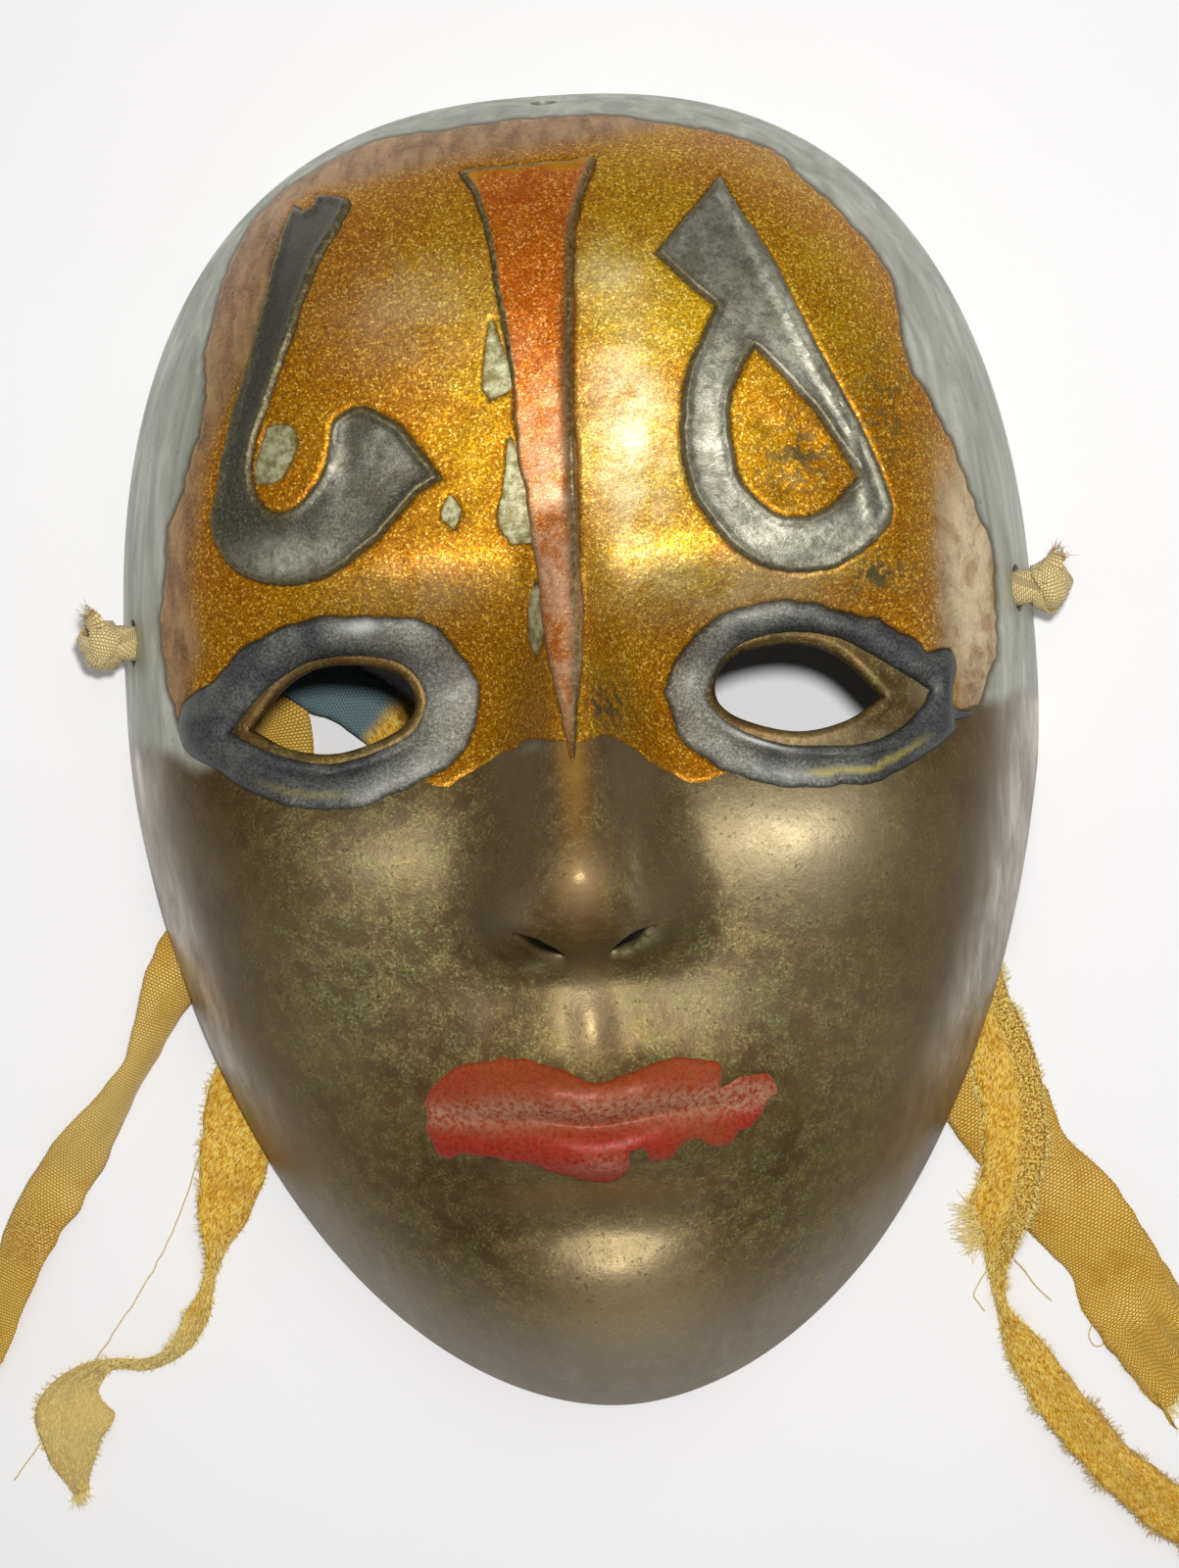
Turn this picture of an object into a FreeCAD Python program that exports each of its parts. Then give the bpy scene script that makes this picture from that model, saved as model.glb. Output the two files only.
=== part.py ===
"""Venetian masquerade mask: a thin brass face with enamel layers and four ribbon tails.

The mask lies face up on its rim. +Z points out of the face, +Y from the chin to the forehead and
+X to the right of someone who looks at the face. The origin is under the middle of the rim box.
All sizes are in millimetres.
"""
import FreeCAD, Part
import math
import os

os.makedirs("parts", exist_ok=True)

V = FreeCAD.Vector

# Driving dimensions
LENGTH = 200.0          # chin to forehead, along the rim
HALF_WIDTH = 69.5       # middle to rim at the temples
WIDEST_Y = 10.0         # height at which the rim is widest
DOME = 47.0             # how far the plain dome stands above the rim plane
WALL = 1.5              # brass sheet
EYE_X = 34.0            # middle of an eye rim
EYE_Y = 7.0
EYE_DROOP = 5.0         # degrees by which the outer corner hangs
EYE_HOLE = (12.0, 6.4, 5.6, 0.65)       # half length, rise, fall and bluntness of an eye shape
EYE_INNER_EDGE = (14.6, 8.6, 7.6, 0.7)
EYE_OUTER_EDGE = (21.5, 13.2, 13.6, 0.72)
ARCH_RISE = 4.0         # gap below each cheek where the ribbons pass
ARCH_CHORD = 72.0
ARCH_Y = -42.0
TEMPLE_Y = 20.0         # ribbon holes
TEMPLE_Z = 12.0
TEMPLE_HOLE_R = 3.5
HANGING_HOLE_R = 2.0
HANGING_Z = 8.0
DRILL = 20.0            # length of the cut that makes a small hole
NECK_PLAY = 0.4         # room round a ribbon in its hole
GOLD_COAT = 0.3         # forehead paint
LIP_COAT = 0.35
MOTIF_COAT = 0.9        # raised motifs
LINER_COAT = 1.3        # raised rims round the eyes
KNOB_R = 4.4            # knot outside each temple
GATHER_R = 5.6          # ribbon gathered behind each temple hole
GATHER_X = 57.0
RIBBON = 10.0           # width of three ribbon tails
WIDE_RIBBON = 14.0      # the fourth lies spread out
RIBBON_THICK = 0.5
LIE_Z = 0.3             # middle of a ribbon that lies on the table
OVER_Z = 1.0            # middle of the ribbon that crosses another

TOP_Y = LENGTH / 2
CHIN_Y = -LENGTH / 2
BROW_POWER = 2.5        # roundness of the outline over the forehead
CHIN_POWER = 1.9        # and towards the chin
BELLY = 0.2             # share of the dome's fall that is spread over the face
EDGE_POWER = 7.0        # how suddenly the dome turns down into its walls
GRID_X = 80.0           # half size of the sheet that the face is cut from
GRID_Y = 108.0
GRID_STEP = 3.0
GRID_MARGIN = 1.0       # trimmed from the sheet's edges
DEEP = 150.0            # longer than any cut
FAR_BELOW = 400.0       # below the steepest fall of the sheet
SLOPE_STEP = 0.2        # half the distance over which a slope is measured
HALVINGS = 40           # steps of a search for a height
CORNER_SHARE = 0.45     # part of the shorter run that a ribbon's bend takes

# Soft bumps: x, y, x radius, y radius, height. Those with an x come in pairs.
BUMPS = (
    (24.0, 25.0, 20.0, 9.0, 2.5),      # brows
    (31.5, 8.0, 18.0, 12.0, -9.0),     # eye sockets
    (33.5, 7.0, 13.0, 7.5, 4.5),       # lids
    (14.0, 9.0, 7.0, 11.0, -4.0),      # beside the bridge
    (36.0, -15.0, 18.0, 14.0, 3.5),    # cheekbones
    (0.0, -48.0, 24.0, 16.0, 5.0),     # round the mouth
    (0.0, -67.0, 16.0, 5.0, -2.5),     # below the lips
    (0.0, -82.0, 19.0, 12.0, 8.0),     # chin
    (0.0, -17.5, 7.5, 6.0, 2.5),       # ball of the nose
    (9.3, -22.5, 5.2, 5.0, 9.0),       # wings of the nose
)

# Ridge of the nose: y, and how far it stands above the dome
NOSE_LINE = (
    (-33.0, 0.0), (-29.0, 3.0), (-25.5, 13.0), (-22.0, 20.0), (-17.5, 23.0),
    (-12.0, 21.5), (0.0, 15.5), (12.0, 9.5), (24.0, 3.0), (34.0, 0.0),
)


def smooth(t):
    """0 below 0, 1 above 1 and an even S between."""
    t = min(max(t, 0.0), 1.0)
    return t * t * (3 - 2 * t)


def rim_share(x, y):
    """0 at the middle of the face and 1 on the rim."""
    dy = y - WIDEST_Y
    power = CHIN_POWER + (BROW_POWER - CHIN_POWER) * smooth((dy + 25) / 50)
    half = TOP_Y - WIDEST_Y if dy > 0 else WIDEST_Y - CHIN_Y
    across = math.hypot(x, 2.0) / HALF_WIDTH
    along = math.hypot(dy, 2.0) / half
    return (across ** power + along ** power) ** (1 / power)


def follow(line, t):
    """A smooth curve through the points of a line, read at t."""
    t = min(max(t, line[0][0]), line[-1][0])
    i = max(k for k in range(len(line) - 1) if line[k][0] <= t)
    slopes = [0.0]
    for before, after in zip(line, line[2:]):
        slopes.append((after[1] - before[1]) / (after[0] - before[0]))
    slopes.append(0.0)
    wide = line[i + 1][0] - line[i][0]
    u = (t - line[i][0]) / wide
    ends = (2 * u ** 3 - 3 * u ** 2 + 1) * line[i][1] + (3 * u ** 2 - 2 * u ** 3) * line[i + 1][1]
    leans = (u ** 3 - 2 * u ** 2 + u) * slopes[i] + (u ** 3 - u ** 2) * slopes[i + 1]
    return ends + leans * wide


def nose(x, y):
    half = 5.5 + 4.5 * smooth((18 - y) / 32)
    return follow(NOSE_LINE, y) * math.exp(-((abs(x) / half) ** 2.3))


def lips(x, y):
    taper = max(1 - (x / 25.5) ** 2, 0.0) ** 1.3
    line = -51 - 0.8 * math.cos(x / 4.2) * math.exp(-((x / 9) ** 2)) + 0.002 * x * x
    bow = 0.9 * math.exp(-(((abs(x) - 6) / 4.5) ** 2))
    full = 0.6 + 0.4 * math.exp(-((x / 12) ** 2))
    upper = (2.6 + bow) * math.exp(-(((y - line - 3.8) / 3.4) ** 2))
    lower = 4.2 * full * math.exp(-(((y - line + 4.4) / 4.0) ** 2))
    crease = 2.4 * math.exp(-(((y - line) / 1.3) ** 2))
    groove = 1.6 * math.exp(-((x / 2.8) ** 2) - ((y + 38.5) / 5) ** 2)
    return taper * (upper + lower - crease) - groove


def bump(x, y, cx, cy, rx, ry, rise):
    total = 0.0
    for side in ((cx, -cx) if cx else (cx,)):
        total += rise * math.exp(-(((x - side) / rx) ** 2) - ((y - cy) / ry) ** 2)
    return total


def height(x, y):
    """Outside of the brass above the rim plane, and below it past the rim."""
    share = rim_share(x, y)
    inside = min(share, 1.0)
    fall = BELLY * inside ** 2 + (1 - BELLY) * inside ** EDGE_POWER
    wall_slope = 2 * BELLY + (1 - BELLY) * EDGE_POWER
    dome = DOME * (1 - fall - wall_slope * max(share - 1, 0.0))
    relief = nose(x, y) + lips(x, y) + sum(bump(x, y, *b) for b in BUMPS)
    return dome + relief * smooth((1.02 - share) / 0.3)


def slopes(x, y):
    """How fast the height changes along X and along Y."""
    span = 2 * SLOPE_STEP
    slope_x = (height(x + SLOPE_STEP, y) - height(x - SLOPE_STEP, y)) / span
    slope_y = (height(x, y + SLOPE_STEP) - height(x, y - SLOPE_STEP)) / span
    return slope_x, slope_y


def block(offset):
    """The solid between the rim plane and the face's surface moved out by offset."""
    columns = int(round(2 * GRID_X / GRID_STEP)) + 1
    rows = int(round(2 * GRID_Y / GRID_STEP)) + 1
    points = []
    for i in range(columns):
        x = -GRID_X + 2 * GRID_X * i / (columns - 1)
        line = []
        for j in range(rows):
            y = -GRID_Y + 2 * GRID_Y * j / (rows - 1)
            slope_x, slope_y = slopes(x, y)
            steep = math.sqrt(1 + slope_x ** 2 + slope_y ** 2)
            line.append(V(x, y, height(x, y) + offset * steep))
        points.append(line)
    surface = Part.BSplineSurface()
    surface.interpolate(points)
    below = surface.toShape().extrude(V(0, 0, -FAR_BELOW))
    half_x = GRID_X - GRID_MARGIN
    half_y = GRID_Y - GRID_MARGIN
    room = Part.makeBox(2 * half_x, 2 * half_y, DEEP, V(-half_x, -half_y, 0))
    return below.common(room).Solids[0]


def closed_curve(points):
    """A flat face inside one smooth closed curve through the points."""
    curve = Part.BSplineCurve()
    curve.interpolate([V(x, y, 0) for x, y in points], PeriodicFlag=True)
    return Part.Face(Part.Wire([curve.toShape()]))


def outline(*runs):
    """A flat face whose edge is smooth along each run and has a corner where two runs meet."""
    edges = []
    for i, run in enumerate(runs):
        points = [V(x, y, 0) for x, y in run] + [V(*runs[(i + 1) % len(runs)][0], 0)]
        if len(points) == 2:
            edges.append(Part.makeLine(*points))
        else:
            curve = Part.BSplineCurve()
            curve.interpolate(points)
            edges.append(curve.toShape())
    return Part.Face(Part.Wire(edges))


def prism(face):
    return face.extrude(V(0, 0, DEEP))


def almond(side, half_length, up, down, blunt):
    """An eye shape about the middle of one eye: a point outside and a rounder end by the nose."""
    inner = -half_length
    outer = half_length
    face = outline(
        [
            (outer, -0.5),
            (0.45 * half_length, 0.8 * up),
            (-0.15 * half_length, up),
            (0.8 * inner, blunt * up),
            (inner, 0),
            (0.75 * inner, -blunt * down),
            (-0.05 * half_length, -down),
            (0.55 * half_length, -0.72 * down),
        ]
    )
    face.rotate(V(), V(0, 0, 1), -EYE_DROOP)
    if side < 0:
        face = face.mirror(V(), V(1, 0, 0))
    face.translate(V(side * EYE_X, EYE_Y, 0))
    return face


def eye_hole(side):
    return almond(side, *EYE_HOLE)


def eye_inner_edge(side):
    return almond(side, *EYE_INNER_EDGE)


def eye_outer_edge(side):
    return almond(side, *EYE_OUTER_EDGE)


def wedge_face():
    """The tapering stripe from the top of the forehead to the bridge of the nose."""
    return outline(
        [(-12, 83)],
        [(8, 84), (4.5, 73), (3, 53), (2.5, 33), (2, 14)],
        [(0, -3), (-2.5, 11), (-5, 36), (-7, 62), (-9, 76)],
    )


def hook_face():
    """A stem that runs down and turns up into a broad barb."""
    return outline(
        [(-37, 82)],
        [
            (-28, 80), (-33, 69), (-38, 56), (-42, 46),
            (-43, 40), (-41, 36), (-37, 36), (-33, 40),
        ],
        [(-31, 47.5), (-27, 49), (-23, 47), (-20, 44)],
        [
            (-16, 38), (-20, 36), (-26, 30), (-33, 25.5), (-41, 25),
            (-48, 30), (-49, 38), (-44, 55), (-40, 69),
        ],
    )


def loop_face():
    """A teardrop loop of ribbon under a square head."""
    outside = outline(
        [(25, 80)],
        [(31, 68), (37, 54), (43, 41), (46, 31)],
        [(43.5, 26), (36, 22.5), (27, 23.5), (20, 30), (17, 40), (18.5, 51)],
        [(23, 60)],
        [(15, 68)],
    )
    hole = outline(
        [(28, 54), (33, 48), (38, 41)],
        [(41, 35), (36, 30.5), (30, 30.5), (25, 36), (24, 46)],
    )
    return outside.cut(hole)


def gold_face():
    """The painted forehead, from the hairline to the bridge, without what lies on the bare brass."""
    whole = outline(
        [(-30, 91), (-10, 92.5), (12, 92)],
        [(33, 86), (42, 75), (48.5, 65), (50, 53), (56, 38), (60.5, 26), (61, 13)],
        [(57, 3), (40, 0)],
        [(18, -6), (12, -4), (6, 1), (0, 1), (-8, 1), (-14, -2)],
        [(-18, -4), (-38, 0)],
        [(-55, 3), (-59, 17), (-57, 33), (-51, 49), (-49, 66), (-43, 83)],
    )
    for face in (wedge_face(), hook_face(), loop_face(), eye_outer_edge(-1), eye_outer_edge(1)):
        whole = whole.cut(face)
    return whole


def lip_face():
    return outline(
        [(-25, -49.5), (-20, -44), (-12, -41.8), (-5, -43.2)],
        [(0, -45.5), (5, -43.2), (12, -41.8), (20, -44)],
        [(25, -49.5), (20, -54), (10, -57.5), (0, -59.5), (-10, -58.5), (-19, -55)],
    )


def nostril(side):
    """A slit between the wing of the nose and its middle."""
    face = closed_curve([(9.5, -24.6), (6, -26.0), (3, -28.6), (6.4, -28.0)])
    return face if side > 0 else face.mirror(V(), V(1, 0, 0))


def wall_x(z):
    """How far out the right wall stands at the height of the temple holes."""
    low, high = HALF_WIDTH / 2, HALF_WIDTH
    for _ in range(HALVINGS):
        middle = (low + high) / 2
        if height(middle, TEMPLE_Y) > z:
            low = middle
        else:
            high = middle
    return low


def hanging_place():
    """A point on the top wall and the direction in which that wall faces."""
    low, high = TOP_Y / 2, TOP_Y
    for _ in range(HALVINGS):
        middle = (low + high) / 2
        if height(0, middle) > HANGING_Z:
            low = middle
        else:
            high = middle
    facing = V(0, -slopes(0, low)[1], 1)
    facing.normalize()
    return V(0, low, HANGING_Z), facing


def mask_shell(outside):
    shell = outside.cut(block(-WALL))
    for side in (-1, 1):
        shell = shell.cut(prism(eye_hole(side)))
        shell = shell.cut(prism(nostril(side)))
        start = V(side * (HALF_WIDTH - DRILL / 2), TEMPLE_Y, TEMPLE_Z)
        shell = shell.cut(Part.makeCylinder(TEMPLE_HOLE_R, DRILL, start, V(side, 0, 0)))
    place, facing = hanging_place()
    start = place - facing * (DRILL / 4)
    shell = shell.cut(Part.makeCylinder(HANGING_HOLE_R, DRILL / 2, start, facing))
    arch_r = (ARCH_CHORD ** 2 / 4 + ARCH_RISE ** 2) / (2 * ARCH_RISE)
    arch = Part.makeCylinder(arch_r, DEEP, V(-DEEP / 2, ARCH_Y, ARCH_RISE - arch_r), V(1, 0, 0))
    return shell.cut(arch)


def coat(face, thickness, outside):
    """A layer of the given thickness that lies on the brass within a flat outline."""
    return prism(face).common(block(thickness)).cut(outside)


def knot(side):
    """A knot outside the temple, its neck through the hole and the gather behind it."""
    outward = V(side, 0, 0)
    wall = wall_x(TEMPLE_Z)
    gather_at = V(side * GATHER_X, TEMPLE_Y, TEMPLE_Z)
    knob_at = V(side * (wall + KNOB_R), TEMPLE_Y, TEMPLE_Z)
    neck_r = TEMPLE_HOLE_R - NECK_PLAY
    neck = Part.makeCylinder(neck_r, wall + KNOB_R - GATHER_X, gather_at, outward)
    knob = Part.makeSphere(KNOB_R, knob_at, outward)
    gather = Part.makeSphere(GATHER_R, gather_at, outward)
    return neck.fuse(knob).fuse(gather)


# Ribbon routes, from the gather at the temple to the frayed end. The first bend sets a ribbon
# down on the table and every later one turns flat on it.
LEFT_LONG = [
    V(-58, 15, TEMPLE_Z), V(-58, 1, LIE_Z), V(-58, -12, LIE_Z), V(-61, -23, LIE_Z),
    V(-66, -33, LIE_Z), V(-70, -43, LIE_Z), V(-76, -53, LIE_Z), V(-83, -63, LIE_Z),
    V(-89, -74, LIE_Z), V(-94, -85, LIE_Z), V(-102, -94, LIE_Z), V(-112, -99, LIE_Z),
]
LEFT_SHORT = [
    V(-52, 18.5, TEMPLE_Z), V(-40, 14.5, LIE_Z), V(-29, 10.8333, LIE_Z), V(-23, 0, LIE_Z),
    V(-27, -13, LIE_Z), V(-37, -25, LIE_Z), V(-48, -36, LIE_Z), V(-56, -48, LIE_Z),
    V(-58, -60, LIE_Z), V(-60, -71, LIE_Z), V(-64, -81, LIE_Z), V(-72, -87, LIE_Z),
    V(-81, -90.5, LIE_Z), V(-85, -99.5, LIE_Z), V(-83, -110, LIE_Z),
]
RIGHT_PILE = [
    V(58, 14.5, TEMPLE_Z + 2), V(58, -5, OVER_Z), V(58, -18, OVER_Z), V(57, -29, OVER_Z),
    V(59, -40, OVER_Z), V(62.5, -50, OVER_Z), V(63, -61, OVER_Z), V(60, -72, OVER_Z),
    V(58, -83, OVER_Z), V(61, -94, OVER_Z), V(67, -105, OVER_Z), V(75, -115, OVER_Z),
    V(85, -123, OVER_Z), V(96, -129, OVER_Z),
]
RIGHT_SATIN = [
    V(55.5, 14.5, TEMPLE_Z - 2), V(51.5, 2.5, LIE_Z), V(47.5, -9.5, LIE_Z), V(46, -22, LIE_Z),
    V(47.5, -35, LIE_Z), V(52, -47, LIE_Z), V(59, -58, LIE_Z), V(67, -69, LIE_Z),
    V(74, -81, LIE_Z), V(81, -94, LIE_Z), V(90, -105, LIE_Z),
]


def sweep_ribbon(name, route, width):
    """A flat band along straight runs joined by tangent arcs, with its bend radii printed."""
    corners = []
    for before, here, after in zip(route, route[1:], route[2:]):
        come = (here - before).normalize()
        leave = (after - here).normalize()
        turn = come.getAngle(leave)
        shorter = min((here - before).Length, (after - here).Length)
        cut = CORNER_SHARE * shorter
        corners.append((here, come, leave, turn, cut))
    come = corners[0][1]
    across = V(0, 0, 1).cross(come).normalize()
    rise = come.cross(across).normalize()
    half = across * (width / 2)
    thick = rise * (RIBBON_THICK / 2)
    start = route[0]
    ring = [start - half - thick, start + half - thick, start + half + thick, start - half + thick]
    profile = Part.Face(Part.makePolygon(ring + ring[:1]))
    pieces = []
    length = 0.0
    radii = []
    for here, come, leave, turn, cut in corners:
        run = (here - come * cut) - start
        pieces.append(profile.extrude(run))
        profile.translate(run)
        radius = cut / math.tan(turn / 2)
        axis = come.cross(leave).normalize()
        centre = here - come * cut + axis.cross(come) * radius
        pieces.append(profile.revolve(centre, axis, math.degrees(turn)))
        profile.rotate(centre, axis, math.degrees(turn))
        start = here + leave * cut
        length += run.Length + radius * turn
        radii.append(radius)
    run = route[-1] - start
    pieces.append(profile.extrude(run))
    length += run.Length
    band = pieces[0].multiFuse(pieces[1:]).removeSplitter()
    solid = band.Solids[0]
    share = solid.Volume / (width * RIBBON_THICK * length)
    rounded = [round(r, 1) for r in radii]
    print(name, "length", round(length, 1), "volume share", round(share, 4), "radii", rounded)
    return solid


def save(name, shape):
    """Writes one node, after a check that it is made of sound solids."""
    shape = Part.makeCompound(shape.Solids) if len(shape.Solids) > 1 else shape.Solids[0]
    shape.exportStep(os.path.join("parts", name + ".step"))
    box = shape.BoundBox
    corners = [round(v, 1) for v in (box.XMin, box.YMin, box.ZMin, box.XMax, box.YMax, box.ZMax)]
    state = "valid" if shape.isValid() else "NOT VALID"
    print(name, len(shape.Solids), state, round(shape.Volume, 1), corners)


def main():
    outside = block(0.0)
    save("mask_shell", mask_shell(outside))
    save("forehead_gold_paint", coat(gold_face(), GOLD_COAT, outside))
    save("forehead_copper_stripe", coat(wedge_face(), MOTIF_COAT, outside))
    save("hook_motif", coat(hook_face(), MOTIF_COAT, outside))
    save("loop_motif", coat(loop_face(), MOTIF_COAT, outside))
    save("lip_paint", coat(lip_face(), LIP_COAT, outside))
    for side, word in ((-1, "left"), (1, "right")):
        ring = eye_outer_edge(side).cut(eye_inner_edge(side))
        save(word + "_eye_rim", coat(ring, LINER_COAT, outside))
        save(word + "_knot", knot(side))
    ribbons = (
        ("left_long_ribbon", LEFT_LONG, RIBBON),
        ("left_short_ribbon", LEFT_SHORT, RIBBON),
        ("right_pile_ribbon", RIGHT_PILE, RIBBON),
        ("right_satin_ribbon", RIGHT_SATIN, WIDE_RIBBON),
    )
    for name, route, width in ribbons:
        save(name, sweep_ribbon(name, route, width))
    place, facing = hanging_place()
    print("hanging hole", place, facing, "wall at the temples", round(wall_x(TEMPLE_Z), 2))


main()
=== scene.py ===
import math

import bpy
import numpy as np
from mathutils import Matrix, Vector, geometry


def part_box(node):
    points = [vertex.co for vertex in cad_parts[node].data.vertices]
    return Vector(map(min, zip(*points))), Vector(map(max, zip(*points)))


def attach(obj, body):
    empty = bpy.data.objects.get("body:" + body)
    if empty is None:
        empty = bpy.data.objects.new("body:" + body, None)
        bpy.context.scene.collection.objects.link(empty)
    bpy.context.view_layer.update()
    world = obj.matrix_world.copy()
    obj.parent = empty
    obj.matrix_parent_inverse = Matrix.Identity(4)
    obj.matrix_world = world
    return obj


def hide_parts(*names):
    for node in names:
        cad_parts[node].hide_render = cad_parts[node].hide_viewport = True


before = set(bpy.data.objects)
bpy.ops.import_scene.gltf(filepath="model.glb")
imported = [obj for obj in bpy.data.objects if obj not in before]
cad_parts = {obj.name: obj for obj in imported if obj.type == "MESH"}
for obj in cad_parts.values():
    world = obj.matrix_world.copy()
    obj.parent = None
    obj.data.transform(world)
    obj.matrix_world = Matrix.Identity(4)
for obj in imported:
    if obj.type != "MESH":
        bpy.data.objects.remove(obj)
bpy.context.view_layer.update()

MM = 0.001
BODY = "root"

# ---------------------------------------------------------------- the brass face as a formula
SHELL_LOW, SHELL_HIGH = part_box("mask_shell")
HALF_WIDTH = SHELL_HIGH.x / MM
TOP_Y = SHELL_HIGH.y / MM
CHIN_Y = SHELL_LOW.y / MM
WIDEST_Y = 10.0
MEAN_RADIUS = 84        # of the rim
HALVINGS = 40           # steps of a search for where the brass crosses a level
DOME = 47.0
BELLY = 0.2
EDGE_POWER = 7.0
BROW_POWER = 2.5
CHIN_POWER = 1.9
WALL = 1.5
EYE_X, EYE_Y, EYE_DROOP = 34.0, 7.0, 5.0
EYE_MOVED = {-1: (0.0, 0.0), 1: (-2.6, -0.8)}
ARCH_Y, ARCH_RISE, ARCH_R = -42.0, 4.0, 164.0
TEMPLE_Y, TEMPLE_Z, TEMPLE_HOLE_R = 20.0, 12.0, 3.5
HANGING_Z, HANGING_HOLE_R = 8.0, 2.0

# Soft bumps: x, y, x radius, y radius, height. Those with an x come in pairs.
BUMPS = (
    (24, 25, 20, 9, 2.5),         # brows
    (31.5, 8, 18, 12, -9),        # eye sockets
    (33.5, 7, 13, 7.5, 4.5),      # lids
    (14, 9, 7, 11, -4),           # beside the bridge
    (36, -15, 18, 14, 3.5),       # cheekbones
    (0, -48, 24, 16, 5),          # round the mouth
    (0, -67, 16, 5, -2.5),        # below the lips
    (0, -82, 19, 12, 8),          # chin
    (0, -17.5, 7.5, 6, 2.5),      # ball of the nose
    (9.3, -22.5, 5.2, 5, 9),      # wings of the nose
)
# Ridge of the nose: y, and how far it stands above the dome
NOSE_LINE = np.array([
    (-33, 0), (-29, 3), (-25.5, 13), (-22, 20), (-17.5, 23),
    (-12, 21.5), (0, 15.5), (12, 9.5), (24, 3), (34, 0),
])
# Knocks in the sheet: x, y, x radius, y radius, depth
DENTS = (
    (59, -19, 3, 7, 0.9), (57, -30, 2.5, 5, 0.7), (61, -8, 2, 6, 0.5),
    (-60, -20, 2.6, 8, 0.8), (-57.5, -33, 2.4, 6, 0.7), (-62, 0, 2, 7, 0.4),
    (62.3, -12, 0.9, 9, 0.5), (59.8, -24, 0.8, 8, 0.6), (57, -35, 0.8, 7, 0.5),
    (-63, -8, 0.9, 9, 0.5), (-61, -23, 0.8, 8, 0.6), (-58.5, -36, 0.8, 7, 0.5),
    (31, 34, 2.2, 1.8, 0.5), (34.5, 40, 1.5, 1.8, 0.45), (29, 43, 1.4, 1.2, 0.35),
    (-20, 62, 6, 5, 0.25), (30, 70, 6, 7, 0.2), (12, 45, 5, 9, 0.25),
)


def smooth(t):
    """A soft step from 0 to 1 as t goes from 0 to 1."""
    t = np.clip(t, 0, 1)
    return t * t * (3 - 2 * t)


def lattice(x, y, size, seed):
    """Smooth noise from -1 to 1 with bumps about size across."""
    table = np.random.default_rng(seed).uniform(-1, 1, (64, 64))
    u, v = x / size, y / size
    i, j = np.floor(u).astype(int), np.floor(v).astype(int)
    f, g = smooth(u - i), smooth(v - j)
    i, j, k, m = i % 64, j % 64, (i + 1) % 64, (j + 1) % 64
    low = table[i, j] * (1 - f) + table[k, j] * f
    high = table[i, m] * (1 - f) + table[k, m] * f
    return low * (1 - g) + high * g


def rim_share(x, y):
    """0 at the middle of the face and 1 on the rim."""
    dy = y - WIDEST_Y
    power = CHIN_POWER + (BROW_POWER - CHIN_POWER) * smooth((dy + 25) / 50)
    half = np.where(dy > 0, TOP_Y - WIDEST_Y, WIDEST_Y - CHIN_Y)
    return ((np.hypot(x, 2) / HALF_WIDTH) ** power + (np.hypot(dy, 2) / half) ** power) ** (1 / power)


def spot(x, y, cx, cy, rx, ry):
    """1 at the middle of a soft oval spot, falling off over its two radii."""
    return np.exp(-(((x - cx) / rx) ** 2) - ((y - cy) / ry) ** 2)


def hump(value, at, wide):
    """1 where value is at, falling off over wide."""
    return np.exp(-(((value - at) / wide) ** 2))


def spots(x, y, *rows):
    """Soft spots added up. Each row is how strong a spot is, its middle and its two radii."""
    return sum(level * spot(x, y, *where) for level, *where in rows)


def follow(line, t):
    """A smooth curve through the rows of a two-column line, read at t."""
    a, b = line[:, 0], line[:, 1]
    slopes = np.zeros(len(a))
    slopes[1:-1] = (b[2:] - b[:-2]) / (a[2:] - a[:-2])
    t = np.clip(t, a[0], a[-1])
    i = np.clip(np.searchsorted(a, t, side="right") - 1, 0, len(a) - 2)
    wide = a[i + 1] - a[i]
    u = (t - a[i]) / wide
    ends = (2 * u ** 3 - 3 * u ** 2 + 1) * b[i] + (3 * u ** 2 - 2 * u ** 3) * b[i + 1]
    leans = (u ** 3 - 2 * u ** 2 + u) * slopes[i] + (u ** 3 - u ** 2) * slopes[i + 1]
    return ends + leans * wide


def nose(x, y):
    half = 4.8 + 4.6 * smooth((14 - y) / 28)
    return follow(NOSE_LINE, y) * np.exp(-((np.abs(x) / half) ** 2.3))


def lips(x, y):
    taper = np.maximum(1 - (x / 25.5) ** 2, 0) ** 1.3
    line = -51 - 0.8 * np.cos(x / 4.2) * hump(x, 0, 9) + 0.002 * x * x
    bow = 0.9 * hump(np.abs(x), 6, 4.5)
    full = 0.6 + 0.4 * hump(x, 0, 12)
    upper = (2.6 + bow) * hump(y - line, 3.8, 3.4)
    lower = 4.2 * full * hump(y - line, -4.4, 4)
    crease = 1.2 * hump(y - line, 0, 1.3)
    return taper * (upper + lower - crease) - 1.6 * spot(x, y, 0, -38.5, 2.8, 5)


def height(x, y):
    """Outside of the plain brass above the rim plane."""
    share = rim_share(x, y)
    inside = np.minimum(share, 1)
    fall = BELLY * inside ** 2 + (1 - BELLY) * inside ** EDGE_POWER
    wall_slope = 2 * BELLY + (1 - BELLY) * EDGE_POWER
    relief = nose(x, y) + lips(x, y)
    for cx, cy, rx, ry, rise in BUMPS:
        relief = relief + rise * spot(x, y, cx, cy, rx, ry)
        if cx:
            relief = relief + rise * spot(x, y, -cx, cy, rx, ry)
    return DOME * (1 - fall - wall_slope * np.maximum(share - 1, 0)) + relief * smooth((1.02 - share) / 0.3)


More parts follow.
